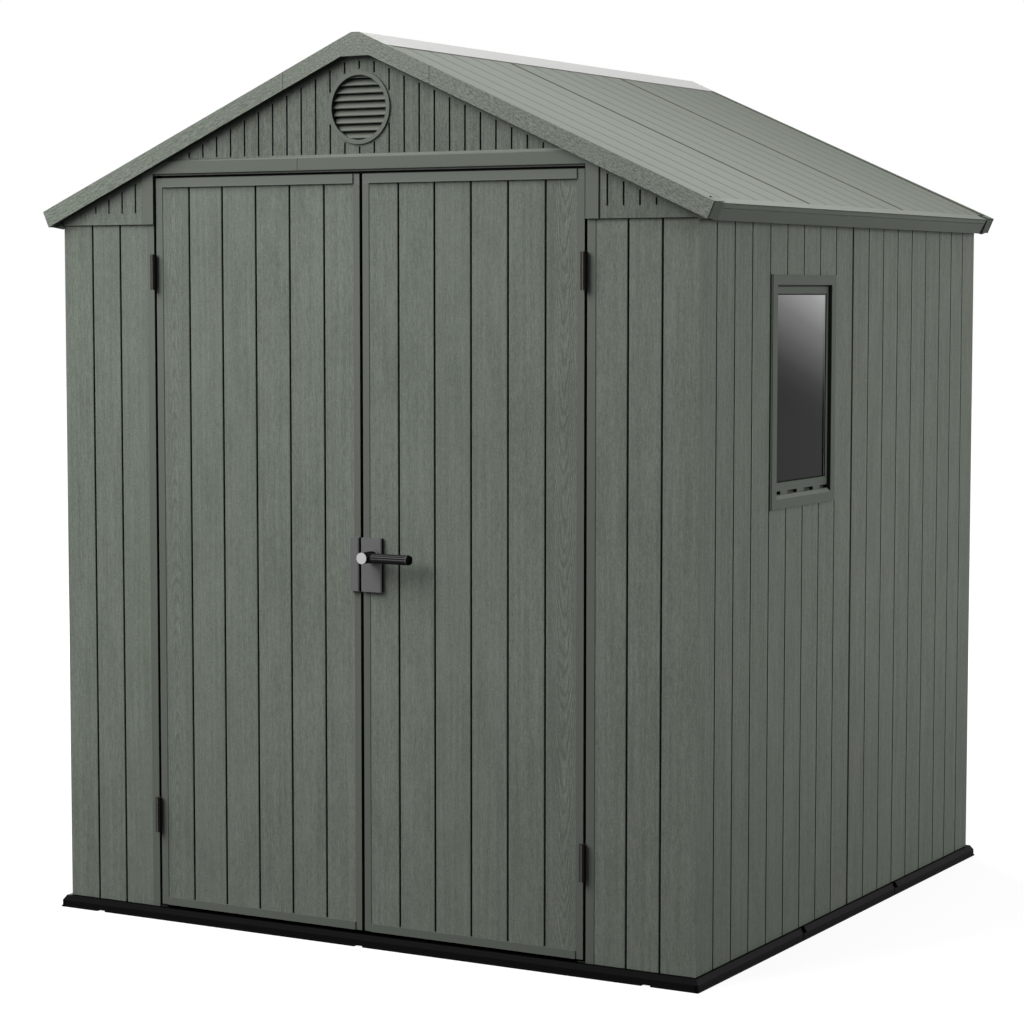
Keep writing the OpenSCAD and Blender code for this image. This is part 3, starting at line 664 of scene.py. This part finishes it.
# %% Barge board finish
def barge_finish():
    on = Finish("barge boards", roughness=0.68, specular=0.05)
    out = abs(on.x)
    rounding = 0.09                        # how wide the turn at the peak is
    rounded = out.scaled(out, rounding ** 2).sum("SQRT")
    square = rounded.scaled(math.tan(fall), on.z) * math.cos(fall)
    along = on.x.scaled(math.cos(fall), on.z * 0.15)
    # the left board's figure is drawn out along the slope and is calmer
    left = ramp(on.x, -0.1, -0.3)
    along = along * left.scaled(-0.62, 1.0)
    grain = on.use(coarse_grain, {"Across": square, "Along": along,
                                  "Seed": on.y.sum("SIGN") * 4.0})
    on_face = abs(on.y) > barge_face - 0.0002
    figure = ((grain["Figure"] - 0.5) * on_face).scaled(left.scaled(-0.3, 1.0), 0.5)

    # it has a little more contrast as well, and the ridge piece is painted paler, as
    # painted light
    tint = shades(figure, (91, 97, 89), (134, 140, 131))
    tint = blend(ramp(on.x, -0.1, -0.5), tint,
                 shades(figure, (88, 95, 86), (135, 141, 132)))
    tint = blend(ramp(out, 0.42, 0.0), tint,
                 shades(figure, (101, 107, 99), (137, 143, 134)))
    # the returns are plain, with painted shade at their ends, and the top gets the roof's
    # painted light
    plain = shades(on.drift, (83, 89, 81), (90, 96, 88))
    board_end = abs(on.y) > barge_face - 9 * MM
    plain = paint(plain, board_end, 0.75, *corner_shade)
    tint = blend(on_face, plain, tint)
    tint = blend(on.upwards(), tint, roof_tint(on))
    # painted shade on the undersides
    tint = paint(tint, ramp(on.face_z, -0.5, -0.8), 0.92, 9, 11, 8)
    return on.done(tint, figure, strength=0.6, distance=0.0007)


dress(barge_finish(), *[f"{end}_barge_{part}" for end in ("front", "rear")
                        for part in ("left", "peak", "right")])
print("barge boards dressed")

# %% [markdown]
# Smooth trims
#
# The door frame, the vent, the window and the eave strips are smooth resin. They get the
# skin only: a slow drift in colour and a fine pebble in the relief. Faces that look down
# or lie deep in a recess get painted shade, and some upper edges and faces that meet the
# light get painted highlights.

# %% Trim finish
def trim_finish(name, low, high, marks):
    on = Finish(name, roughness=0.55, specular=0.16)
    tint = marks(on, shades(on.drift, low, high))
    return on.done(tint, on.pebble, strength=0.12, distance=0.0004,
                   rough=on.drift.scaled(0.15, 0.48))


def frame_marks(on, tint):
    """Painted highlight on the beam's top edge, painted shade in its step, stop and post
    sides.
    """
    upper, step_foot, step_top = 1.9, 1889.5 * MM, 1894.8 * MM
    # painted highlight on the beam's top edge
    lit_top = on.upwards() * (on.z > upper) * ramp(on.x, -0.6, -0.05)
    tint = paint(tint, lit_top, 0.3, *highlight_soft)
    # painted shade in the beam's step, on the door stop and on the posts' outer sides
    step = between(on.z, step_foot, step_top) * (on.y > front_y - 6 * MM)
    tint = paint(tint, step, 0.85, 16, 20, 14)
    stop = on.forwards() * (on.y > front_y + 10 * MM) * (on.z < upper)
    tint = paint(tint, stop, 0.85, 6, 8, 5)
    return paint(tint, ramp(abs(on.face_x), 0.7, 0.9), 0.9, 12, 15, 10)


def vent_marks(on, tint):
    """Painted shade on the louvres towards the next lip, in the sleeve and on hidden
    faces.
    """
    louvre_lip, louvre_back = 2.5 * MM, 11.5 * MM
    depth = on.y - gable_y
    # painted shade on the louvres, in the sleeve, at the back and on edges facing away
    tint = paint(tint, ramp(depth, louvre_lip, louvre_back), 0.9, 28, 32, 26)
    sleeve_left = vent_left + 7 * MM
    sleeve = ramp(on.x, sleeve_left + 22 * MM, sleeve_left) * ramp(depth, 0.0, 2 * MM)
    tint = paint(tint, sleeve, 0.6, 14, 17, 12)
    tint = blend(ramp(depth, louvre_back, louvre_back + 1 * MM), tint, colour(8, 10, 7))
    away = on.face_z.scaled(-0.45, on.face_x * 0.8)
    edge_on = abs(on.face_y) < 0.35
    return paint(tint, ramp(away, 0.05, 0.5) * edge_on, 0.9, 9, 11, 8)


def window_marks(on, tint):
    """Painted shade in slots, under the head and far side, a painted highlight on the
    flange.
    """
    slot_foot, slot_middle, slot_top = 1112.5 * MM, 1116.8 * MM, 1122.2 * MM
    head_foot, head_top = 1612.2 * MM, 1617.1 * MM
    side_front, side_back = -140.5 * MM, -130 * MM
    forwards = on.forwards()
    slots = between(on.z, slot_foot, slot_top) * (on.x < 897.5 * MM)
    hidden = (on.z > slot_middle) | forwards
    # painted shade in the drain slots
    tint = paint(tint, slots, 0.3, 12, 15, 11)
    tint = paint(tint, slots * hidden, 0.9, 6, 8, 5)
    # painted shade under the head and on the far side
    head = between(on.z, head_foot, head_top) * (on.x < 899 * MM)
    far_side = forwards * between(on.y, side_front, side_back) * (on.x < 906.5 * MM)
    tint = paint(tint, head | far_side, 0.95, 8, 10, 7)
    # painted highlight on the side of the flange, which the lamps leave dark
    flank = forwards * (on.y < window_low.y + 1 * MM)
    strip = between(on.x, window_high.x - 4.6 * MM, window_high.x - 1.4 * MM)
    tint = paint(tint, flank * strip, 0.9, 196, 202, 193)
    # painted highlight where the sill and the lower rail's top face take the light
    sill = ramp(on.face_z, 0.3, 0.6) * (on.z < 1112 * MM)
    return paint(tint, sill, 0.5, *highlight_soft)


def eave_marks(on, tint):
    """The roof flange takes the roof's painted light, the underside gets painted shade.
    """
    tint = blend(on.upwards(), tint, roof_tint(on))
    return paint(tint, ramp(on.face_z, -0.3, -0.7), 0.8, 10, 12, 9)


# %% Dress the trims
dress(trim_finish("door frame trim", (88, 94, 86), (94, 100, 92), frame_marks),
      "door_head_frame")
dress(trim_finish("vent trim", (92, 98, 90), (98, 104, 96), vent_marks), "gable_vent")
dress(trim_finish("window trim", (76, 83, 75), (81, 88, 80), window_marks),
      "window_frame", "window_sash")
dress(trim_finish("eave trim", (76, 84, 73), (84, 92, 81), eave_marks),
      "left_eave_strip", "right_eave_strip")
print("trims dressed:", len([m for m in bpy.data.materials if "trim" in m.name]))

# %% [markdown]
# Roof panels
#
# The panels are ribbed by fine grooves that run down the slope. They are painted paler
# than the walls, as painted light for the sky they face. The depth below the panel's
# plane gives the grooves painted shade, as on the walls; the plane is found from the
# slope, and it sinks slightly towards the eave, so the sum has one more term for that.

# %% Roof finish
def roof_finish():
    on = Finish("roof panels", roughness=0.66, specular=0.16, pebble=500.0)
    out = abs(on.x)
    plane = math.sin(fall) * roof_half + math.cos(fall) * eave_height
    height = out.scaled(math.sin(fall), on.z * math.cos(fall))
    sunk = ramp(out, strip_edge, roof_half - 0.03, 0.002, 0.004, smooth=False)
    shade = on.use(groove_shade, {"Depth": plane - height - sunk, "Lip": 0.0003,
                                  "Bottom": 0.0092})

    # where the first groove of this panel lies, and how far apart its grooves are
    in_rear, in_front = on.y > roof_joint, on.y < -roof_joint
    front, middle, rear = first_grooves
    start = in_rear.scaled(rear - middle, in_front.scaled(front - middle, middle))
    pitch = (in_rear + in_front).scaled(0.8 * MM, 98.5 * MM)
    from_start = on.y - start

    # painted shade lies behind every groove, on the side away from the doors
    behind = from_start.sum("FLOORED_MODULO", pitch)
    shade_behind = ramp(behind, 0.030, 0.002) * ramp(on.y, -0.8, 0.8, 1.0, 0.45, smooth=False)
    tint = paint(roof_tint(on), shade_behind, 0.14, 60, 66, 58)

    # the lips of a groove get painted shade as well
    beside = abs(abs(on.y) - roof_joint)
    rearwards = ramp(on.y, 0.15, 0.75, 1.0, 0.4, smooth=False)
    lips = ramp(from_start.sum("PINGPONG", pitch * 0.5), 3.4 * MM, 1.8 * MM)
    tint = paint(tint, lips * rearwards * (beside > 20 * MM), 0.3, 44, 48, 42)
    at_joint = beside < 5 * MM
    in_groove = shades(at_joint, (40, 44, 38), (34, 28, 25))
    # painted shade in the grooves, fading towards the rear
    tint = blend(shade["Dark"] * (rearwards | at_joint), tint, in_groove)

    # the rubber stains the edges of a joint brown, and a soft shade lies beside it
    tint = paint(tint, ramp(beside, 8.5 * MM, 5 * MM), 0.7, 40, 34, 30)
    tint = paint(tint, ramp(beside, 18 * MM, 6 * MM), 0.22, 52, 52, 48)
    return on.done(tint, on.pebble, strength=0.15, distance=0.0005)


roof_names = [name for name in parts if name.startswith("roof_")]
dress(roof_finish(), *roof_names)
print("roof panels dressed:", len(roof_names))

# %% [markdown]
# The daylight strip on the ridge
#
# It is a milky sheet that lets some light through. A little transmission in a rough,
# pale resin glows on the inside without turning into glass. Its colour stays well below
# white, so that it keeps its shape under a bright sky.

# %% Daylight strip
def daylight_finish():
    on = Finish("daylight strip", roughness=0.5, specular=0.25)
    tint = shades(on.drift, (218, 218, 216), (224, 224, 222))
    # painted shade: the left half is darker, to hold back the strong lamp light on that
    # side
    tint = paint(tint, ramp(on.x, 12 * MM, -12 * MM), 0.6, 178, 178, 174)
    edge = (abs(on.x) > 85.2 * MM) * (on.face_z < 0.6)
    tint = paint(tint, edge, 0.75, 62, 52, 48)
    on.shader["Transmission Weight"].default_value = 0.12
    return on.done(tint, on.pebble, strength=0.1, distance=0.0005)


dress(daylight_finish(), "ridge_skylight")

# %% [markdown]
# Window pane
#
# The pane is clear plastic in front of a dark room, and its gloss takes the sky: pale at
# the top, dark below. Part of that is a painted reflection in the material, a soft change
# in grey from the lower front corner to the upper back one, so that it reads as a pane in
# any light.

# %% Pane
def pane_finish():
    on = Finish("window pane", roughness=0.12, specular=0.036)
    up = ramp(on.z, pane_low.z, pane_high.z, smooth=False)
    back = ramp(on.y, pane_low.y, pane_high.y, smooth=False)
    lean = 0.2                             # how much the change leans to the back
    sky = back.scaled(lean, up).sum("DIVIDE", 1 + lean)
    ladder = put(on.tree, "ValToRGB", {"Fac": sky})
    steps = ladder.color_ramp.elements
    steps[0].color, steps[1].color = colour(10, 10, 10), colour(205, 205, 205)
    for position, grey in ((0.38, 14), (0.47, 27), (0.56, 54), (0.67, 93), (0.8, 131),
                           (0.92, 174)):
        steps.new(position).color = colour(grey, grey, grey)
    # a thin painted highlight inside the gasket, along the top and the far side
    top_line = ramp(on.z, pane_high.z - 4.8 * MM, pane_high.z - 4.0 * MM)
    far_line = ramp(on.y, pane_high.y - 5.2 * MM, pane_high.y - 4.0 * MM)
    tint = paint(ladder.outputs["Color"], top_line | far_line, 0.35, 215, 215, 215)
    noise = put(on.tree, "TexNoise", {"Vector": on.place, "Scale": 5.0, "Detail": 1.0})
    ripple = Amount(noise.outputs["Fac"])
    return on.done(tint, ripple, strength=0.05, distance=0.002,
                   rough=ripple.scaled(0.06, 0.08))


dress(pane_finish(), "window_pane")

# %% [markdown]
# The black base
#
# The base is tougher, darker resin. Its sloping upper edge is painted a bit paler than
# its upright faces, as painted light on faces that turn towards the sky.

# %% Base
def base_finish():
    on = Finish("base resin", roughness=0.6, specular=0.02, pebble=600.0)
    sideways = abs(on.face_x)
    tint = shades(on.drift, (10, 10, 10), (15, 15, 15))
    # painted light on the sloping faces
    slanted = ramp(on.face_z, 0.2, 0.8) * ramp(sideways, 0.2, 0.7)
    tint = blend(slanted, tint, colour(44, 44, 45))
    # painted shade: the level top beside the walls, the notches and the blunt corners
    # stay black
    level = ramp(on.face_z, 0.9, 0.97)
    notch = (abs(on.x) < wall_x + 4 * MM) * ramp(sideways, 0.7, 0.9)
    corner = (abs(on.x) > 909 * MM) * (abs(on.y) > 893 * MM) * (on.z < 18 * MM)
    tint = paint(tint, level | (notch | corner), 0.9, 1, 1, 1)
    return on.done(tint, on.pebble, strength=0.2, distance=0.0005)


dress(base_finish(), "floor_front", "floor_middle", "floor_rear")

# %% [markdown]
# Metal and the lever
#
# The hinges are dark painted metal, the lock plates a lighter grey, the lever black satin
# with a pale disc on its end. They are small, but the eye goes to them, so each has its
# own marks: the plates and the disc are faintly brushed, the plates' bevels and the
# lever's edges get painted highlights, the hinge barrels a painted highlight line, and
# their shaded sides painted shade.

# %% Small parts
def metal_finish(name, low, high, roughness, specular=0.25, brushed=0.0, marks=None):
    on = Finish(name, roughness=roughness, specular=specular, pebble=1500.0)
    lines = stretched_noise(on.z, on.x, 1.0, 2600, 12, 1.0)
    mix = maths(on.tree, "MULTIPLY_ADD", lines - 0.5, brushed, on.drift, clamp=True)
    tint = shades(mix, low, high)
    if marks:
        tint = marks(on, tint)
    return on.done(tint, on.pebble, strength=0.15, distance=0.0002,
                   rough=on.drift.scaled(0.12, roughness - 0.06))


def hinge_marks(on, tint):
    """Plain paint on the left, one painted highlight line, painted shade on the right."""
    tint = paint(tint, ramp(on.face_x, 0.34, 0.42), 0.75, 5, 4, 4)
    tint = blend(ramp(on.face_x, 0.42, 0.9), tint, colour(5, 4, 4))
    line = ramp(on.face_x, -0.06, 0.06) * ramp(on.face_x, 0.38, 0.28) * (on.face_y < -0.5)
    return paint(tint, line, 0.95, 96, 89, 84)


def plate_marks(on, tint):
    """The bevels get painted highlights and the right-hand sides painted shade."""
    sideways = abs(on.face_x)
    bevel = ramp(sideways, 0.4, 0.6) * ramp(sideways, 0.9, 0.8)
    tint = paint(tint, bevel, 0.6, 125, 125, 126)
    return blend(ramp(on.face_x, 0.85, 0.95), tint, colour(4, 4, 4))


def lever_marks(on, tint):
    """The bar's edges get fine painted highlight lines, the hub stays black."""
    middle = (lever_low.z + lever_high.z) / 2
    bar_start, hub_end = 53 * MM, 62 * MM
    front = (on.x > bar_start) * (on.face_y < -0.2)
    # painted highlight lines along the bar's edges
    for offset, wide, strength in ((8.6, 0.9, 0.35), (4.8, 1.0, 0.75), (-0.2, 1.0, 0.85)):
        gap = abs(on.z - (middle + offset * MM))
        line = ramp(gap, wide * MM, 0.3 * MM) * front
        tint = paint(tint, line, strength, 112, 112, 112)
    # painted highlight near the end of the bar
    end = between(on.x, lever_high.x - 9 * MM, lever_high.x - 6 * MM) * front
    tint = paint(tint, end, 0.45, 96, 96, 96)
    past = on.x > lever_high.x - 5.2 * MM
    return blend((on.x < hub_end) | past, tint, colour(5, 5, 5))


hinge_paint = metal_finish("hinge paint", (34, 31, 29), (42, 38, 36), 0.42, specular=0.1,
                           marks=hinge_marks)
dress(hinge_paint, "hinge_frame_halves", "left_door_hinge_halves",
      "right_door_hinge_halves")
dress(metal_finish("lock plate paint", (91, 91, 92), (96, 96, 97), 0.5, brushed=0.3,
                   marks=plate_marks), "left_lock_plate", "right_lock_plate")
dress(metal_finish("lever satin", (30, 30, 30), (38, 38, 38), 0.4, specular=0.02,
                   marks=lever_marks), "lever_handle")
dress(metal_finish("lever cap metal", (188, 188, 188), (197, 197, 197), 0.4, brushed=0.3),
      "lever_cap")
print("materials in all:", len(bpy.data.materials))

# %% [markdown]
# Helpers for modelling
#
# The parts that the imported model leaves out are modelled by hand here: seals, a gasket
# and small pins. Each starts as a simple solid at its real size and is shaped in edit
# mode. An operator acts on everything selected, so each piece starts with nothing
# selected, and its faces are then picked by the way they face.

# %% Modelling helpers
def deselect_all():
    if bpy.context.object and bpy.context.object.mode != "OBJECT":
        bpy.ops.object.mode_set(mode="OBJECT")
    bpy.ops.object.select_all(action="DESELECT")


def start_block(name, length, width, height):
    """A block of the given size, its size in its mesh, ready for edit mode."""
    deselect_all()
    bpy.ops.mesh.primitive_cube_add(size=1, location=(0, 0, 0),
                                    scale=(length, width, height))
    piece = bpy.context.object
    piece.name = name
    bpy.ops.object.transform_apply(location=True, rotation=True, scale=True)
    return piece


def pick_faces(piece, test):
    """Selects the faces whose normal passes a test, in edit mode."""
    bpy.ops.object.mode_set(mode="EDIT")
    bpy.ops.mesh.select_mode(type="FACE")
    bpy.ops.mesh.select_all(action="DESELECT")
    bpy.ops.object.mode_set(mode="OBJECT")
    for face in piece.data.polygons:
        face.select = test(face.normal)
    bpy.ops.object.mode_set(mode="EDIT")


def round_edges(piece, width):
    """Rounds every sharp edge of a finished shape."""
    bpy.ops.object.mode_set(mode="OBJECT")
    rounding = piece.modifiers.new("rounding", "BEVEL")
    rounding.width, rounding.segments, rounding.limit_method = width, 2, "ANGLE"
    bpy.ops.object.modifier_apply(modifier=rounding.name)


def settle(piece, turn, place):
    """Turns and moves a finished shape, and leaves the object itself at the origin."""
    if piece.mode != "OBJECT":
        bpy.ops.object.mode_set(mode="OBJECT")
    piece.rotation_euler = turn
    piece.location = place
    bpy.ops.object.transform_apply(location=True, rotation=True, scale=True)


def on_roof(side, out, y, above, middle=0.0):
    """A point on a roof slope: out from the ridge on the level, and above the roof.

    middle moves it further down, along the slope.
    """
    down = (out - ridge_flat) / math.cos(fall) + middle
    x = ridge_flat + down * math.cos(fall) + above * math.sin(fall)
    z = ridge - down * math.sin(fall) + above * math.cos(fall)
    return Vector((side * x, y, z))


def copy_piece(piece, name):
    """A copy with its own mesh."""
    twin = piece.copy()
    twin.data = piece.data.copy()
    twin.name = name
    scene.collection.objects.link(twin)
    return twin


def lay_four(first, out, y, above, middle=0.0):
    """A piece and three copies, on both slopes, in front and behind."""
    places = [(side, end) for side in (1, -1) for end in (-1, 1)]
    pieces = [first] + [copy_piece(first, f"{first.name}_{i}") for i in range(2, 5)]
    for piece, (side, end) in zip(pieces, places):
        deselect_all()
        piece.select_set(True)
        bpy.context.view_layer.objects.active = piece
        settle(piece, (0, side * fall, 0), on_roof(side, out, end * y, above, middle))
    return pieces


print("a point on the eave:", [round(v, 3) for v in on_roof(1, roof_half, 0, 0)])

# %% [markdown]
# Seals in the roof joints
#
# Where two roof panels meet, the open groove is closed by a brown rubber strip with a
# raised bead, which keeps the rain out. A plain band would do from afar, but from above
# the bead shows, so the strip is a long block whose top is inset and drawn up into the
# bead, and then rounded by a bevel. One is modelled, and copied to the other three
# joints, each copy with its own mesh.

# %% Rubber finish
def rubber_finish(name, low, high):
    on = Finish(name, roughness=0.75, specular=0.05, pebble=1800.0)
    dusty = stretched_noise(on.y, on.z, 2.0, 60, 60, 2.0, 0.6)
    tint = shades(dusty.scaled(0.6, on.drift * 0.4), low, high)
    return on.done(tint, on.pebble, strength=0.3, distance=0.0003,
                   rough=dusty.scaled(0.2, 0.65))


brown_rubber = rubber_finish("brown rubber", (34, 27, 24), (52, 43, 38))
black_rubber = rubber_finish("black rubber", (12, 14, 11), (22, 25, 20))


# %% Joint seals
def make_joint_seal(length):
    seal = start_block("roof_joint_seal", length, 7.4 * MM, 2.2 * MM)
    pick_faces(seal, lambda normal: normal.z > 0.9)
    bpy.ops.mesh.inset(thickness=2.0 * MM)
    bpy.ops.mesh.extrude_region_move(TRANSFORM_OT_translate={"value": (0, 0, 0.9 * MM)})
    round_edges(seal, 0.4 * MM)
    bpy.ops.object.shade_smooth_by_angle(angle=math.radians(35))
    seal.data.materials.append(brown_rubber)
    return seal


eave_gap = 31 * MM                         # the seals end short of the eave
seal_length = (roof_half - strip_edge - eave_gap) / math.cos(fall)
joint_seals = lay_four(make_joint_seal(seal_length), strip_edge, roof_joint, -6.4 * MM,
                       middle=seal_length / 2)
for seal in joint_seals:
    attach(seal, "shed")
print("faces of each joint seal:", [len(seal.data.polygons) for seal in joint_seals])

# %% [markdown]
# Seals along the daylight strip
#
# The daylight strip ends in a narrow gap above the roof panels, closed by a thin dark
# lip. It is the same kind of strip, narrower and without a bead, with its upper edges
# rounded.

# %% Strip seals
def place_strip_seals():
    sky_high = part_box("ridge_skylight")[1]
    seals = []
    for side, name in ((1, "right"), (-1, "left")):
        seal = start_block(f"daylight_strip_seal_{name}", 1.7 * MM,
                           2 * (sky_high.y - 20 * MM), 8 * MM)
        pick_faces(seal, lambda normal: normal.z > 0.9)
        bpy.ops.mesh.bevel(offset=0.5 * MM, segments=2, affect="EDGES")
        settle(seal, (0, side * fall, 0),
               on_roof(side, sky_high.x + 1.3 * MM, 0, -6.6 * MM))
        seal.data.materials.append(brown_rubber)
        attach(seal, "shed")
        seals.append(seal)
    return seals


print("daylight strip seals:", [s.name for s in place_strip_seals()])

# %% [markdown]
# Gasket round the pane
#
# A black rubber frame holds the pane in its sash. It is a shallow block whose two large
# faces are inset by the width of the rubber and then bridged, which opens the middle and
# leaves a clean rectangular ring.

# %% Pane gasket
def make_gasket():
    deep, wide, play = 1.6 * MM, 2.8 * MM, 0.4 * MM
    gasket = start_block("pane_gasket", deep, pane_high.y - pane_low.y - play,
                         pane_high.z - pane_low.z - play)
    pick_faces(gasket, lambda normal: abs(normal.x) > 0.9)
    bpy.ops.mesh.inset(thickness=wide, use_individual=True)
    bpy.ops.mesh.bridge_edge_loops()
    round_edges(gasket, 0.35 * MM)
    middle = (pane_low + pane_high) / 2
    settle(gasket, (0, 0, 0), (pane_high.x + deep / 2 + 0.1 * MM, middle.y, middle.z))
    gasket.data.materials.append(black_rubber)
    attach(gasket, "shed")
    return gasket


print("gasket faces:", len(make_gasket().data.polygons))

# %% [markdown]
# Pins at the ends of the barge boards
#
# A small dark pin locks each barge board to the eave. It is a short round stud: the top
# of a cylinder is inset and pushed down for the driver's socket, and the rim is rounded.

# %% Eave pins
def make_pin():
    deselect_all()
    bpy.ops.mesh.primitive_cylinder_add(vertices=24, radius=3.4 * MM, depth=2.4 * MM,
                                        location=(0, 0, 0))
    pin = bpy.context.object
    pin.name = "eave_pin"
    pick_faces(pin, lambda normal: normal.z > 0.9)
    bpy.ops.mesh.bevel(offset=0.5 * MM, segments=2, affect="EDGES")
    pick_faces(pin, lambda normal: normal.z > 0.99)
    bpy.ops.mesh.inset(thickness=1.2 * MM)
    bpy.ops.mesh.extrude_region_move(TRANSFORM_OT_translate={"value": (0, 0, -1.1 * MM)})
    bpy.ops.object.mode_set(mode="OBJECT")
    bpy.ops.object.shade_smooth_by_angle(angle=math.radians(35))
    pin.data.materials.append(hinge_paint)
    return pin


pin_out, pin_end = 927.3 * MM, 878.5 * MM  # from the middle to the side and to an end
eave_pins = lay_four(make_pin(), pin_out, pin_end, 0.2 * MM)
for pin in eave_pins:
    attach(pin, "shed")
print("faces of each pin:", [len(pin.data.polygons) for pin in eave_pins])

# %% [markdown]
# Camera
#
# The camera stands in front of the right-hand corner at head height and looks slightly
# down, with a long lens so that uprights stay nearly parallel. Its three directions are
# written as rows and turned into a matrix, which is exact where three angles would need
# care with their order.

# %% Camera
camera_data = bpy.data.cameras.new("camera")
camera_data.lens = 98.1637
camera_data.sensor_width = 36
camera = bpy.data.objects.new("camera", camera_data)
scene.collection.objects.link(camera)
to_right = Vector((0.870056, 0.492952, 0.000522))
to_down = Vector((0.039546, -0.068743, -0.996850))
ahead = Vector((-0.491363, 0.867337, -0.079305))
pose = Matrix((to_right, -to_down, -ahead)).transposed().to_4x4()
pose.translation = Vector((3.643501, -6.576343, 1.604689))
camera.matrix_world = pose
scene.camera = camera
print("camera at", [round(v, 2) for v in pose.translation])

# %% [markdown]
# Light and backdrop
#
# A product like this is lit by a big soft lamp from the front and above, a smaller one
# from the right and one from behind, and by a sky that is brighter above than below. The
# background is white only for rays that come from the camera, from a mirror-like bounce
# or through clear resin, so that it adds no light to the shed.

# %% World
def backdrop_rays(tree):
    """1 for the rays that see the white background, 0 for those that light things."""
    ray = amounts(put(tree, "LightPath").outputs)
    return ray["Is Camera Ray"] | (ray["Is Glossy Ray"] | ray["Is Transmission Ray"])


world = bpy.data.worlds.new("studio sky")
scene.world = world
world.use_nodes = True
sky = world.node_tree
background = sky.nodes["Background"]
background.inputs["Color"].default_value = (1, 1, 1, 1)
background.inputs["Strength"].default_value = 1.0
upward = split(Amount(put(sky, "TexCoord").outputs["Generated"]))[2]
overhead = upward.sum("MAXIMUM", 0.0) ** 3.0
soft_sky = put(sky, "Background", {"Color": (1, 1, 1, 1),
                                   "Strength": overhead.scaled(0.6, 0.16)})
either = put(sky, "MixShader", {"Fac": backdrop_rays(sky), 1: soft_sky.outputs[0],
                                2: background.outputs[0]})
plug(sky.nodes["World Output"].inputs["Surface"], either.outputs[0])
print("world nodes:", len(sky.nodes))

# %% Lamps
def soft_lamp(name, place, target, size, power):
    """A square lamp that faces a point."""
    data = bpy.data.lights.new(name, "AREA")
    data.size, data.energy = size, power
    lamp = bpy.data.objects.new(name, data)
    scene.collection.objects.link(lamp)
    lamp.location = place
    lamp.visible_camera = False
    aim = Vector(target) - Vector(place)
    lamp.rotation_euler = aim.to_track_quat("-Z", "Y").to_euler()


soft_lamp("key lamp", (-3.6, -5.3, 5.8), (0, -0.8, 1.0), 6.0, 830)
soft_lamp("side lamp", (5.2, 1.0, 2.3), (0.9, 0.2, 1.0), 2.5, 122)
soft_lamp("back lamp", (-4.8, 5.2, 2.8), (-0.4, 0.5, 1.0), 3.0, 420)

# %% Floor
def make_floor():
    deselect_all()
    bpy.ops.mesh.primitive_grid_add(x_subdivisions=8, y_subdivisions=8, size=60,
                                    location=(0, 0, 0))
    floor = bpy.context.object
    floor.name = "studio_floor"
    material = bpy.data.materials.new("studio floor")
    material.use_nodes = True
    tree = material.node_tree
    tree.nodes.clear()
    spot = put(tree, "TexCoord").outputs["Object"]
    length = put(tree, "VectorMath", {0: spot}, operation="LENGTH").outputs["Value"]
    fade = ramp(Amount(length), 2.2, 6.0, 0.86, 1.0)
    glow = put(tree, "Emission", {"Color": (1, 1, 1, 1), "Strength": fade})
    pale = put(tree, "BsdfDiffuse", {"Color": (0.22, 0.22, 0.22, 1)})
    bright = put(tree, "AddShader", {0: pale.outputs[0], 1: glow.outputs[0]})
    dull = put(tree, "BsdfDiffuse", {"Color": (0.06, 0.06, 0.06, 1)})
    choose = put(tree, "MixShader", {"Fac": backdrop_rays(tree), 1: dull.outputs[0],
                                     2: bright.outputs[0]})
    put(tree, "OutputMaterial", {"Surface": choose.outputs[0]})
    floor.data.materials.append(material)
    return floor


print("floor faces:", len(make_floor().data.polygons))

# %% Close the scene
scene.view_settings.view_transform = "Standard"
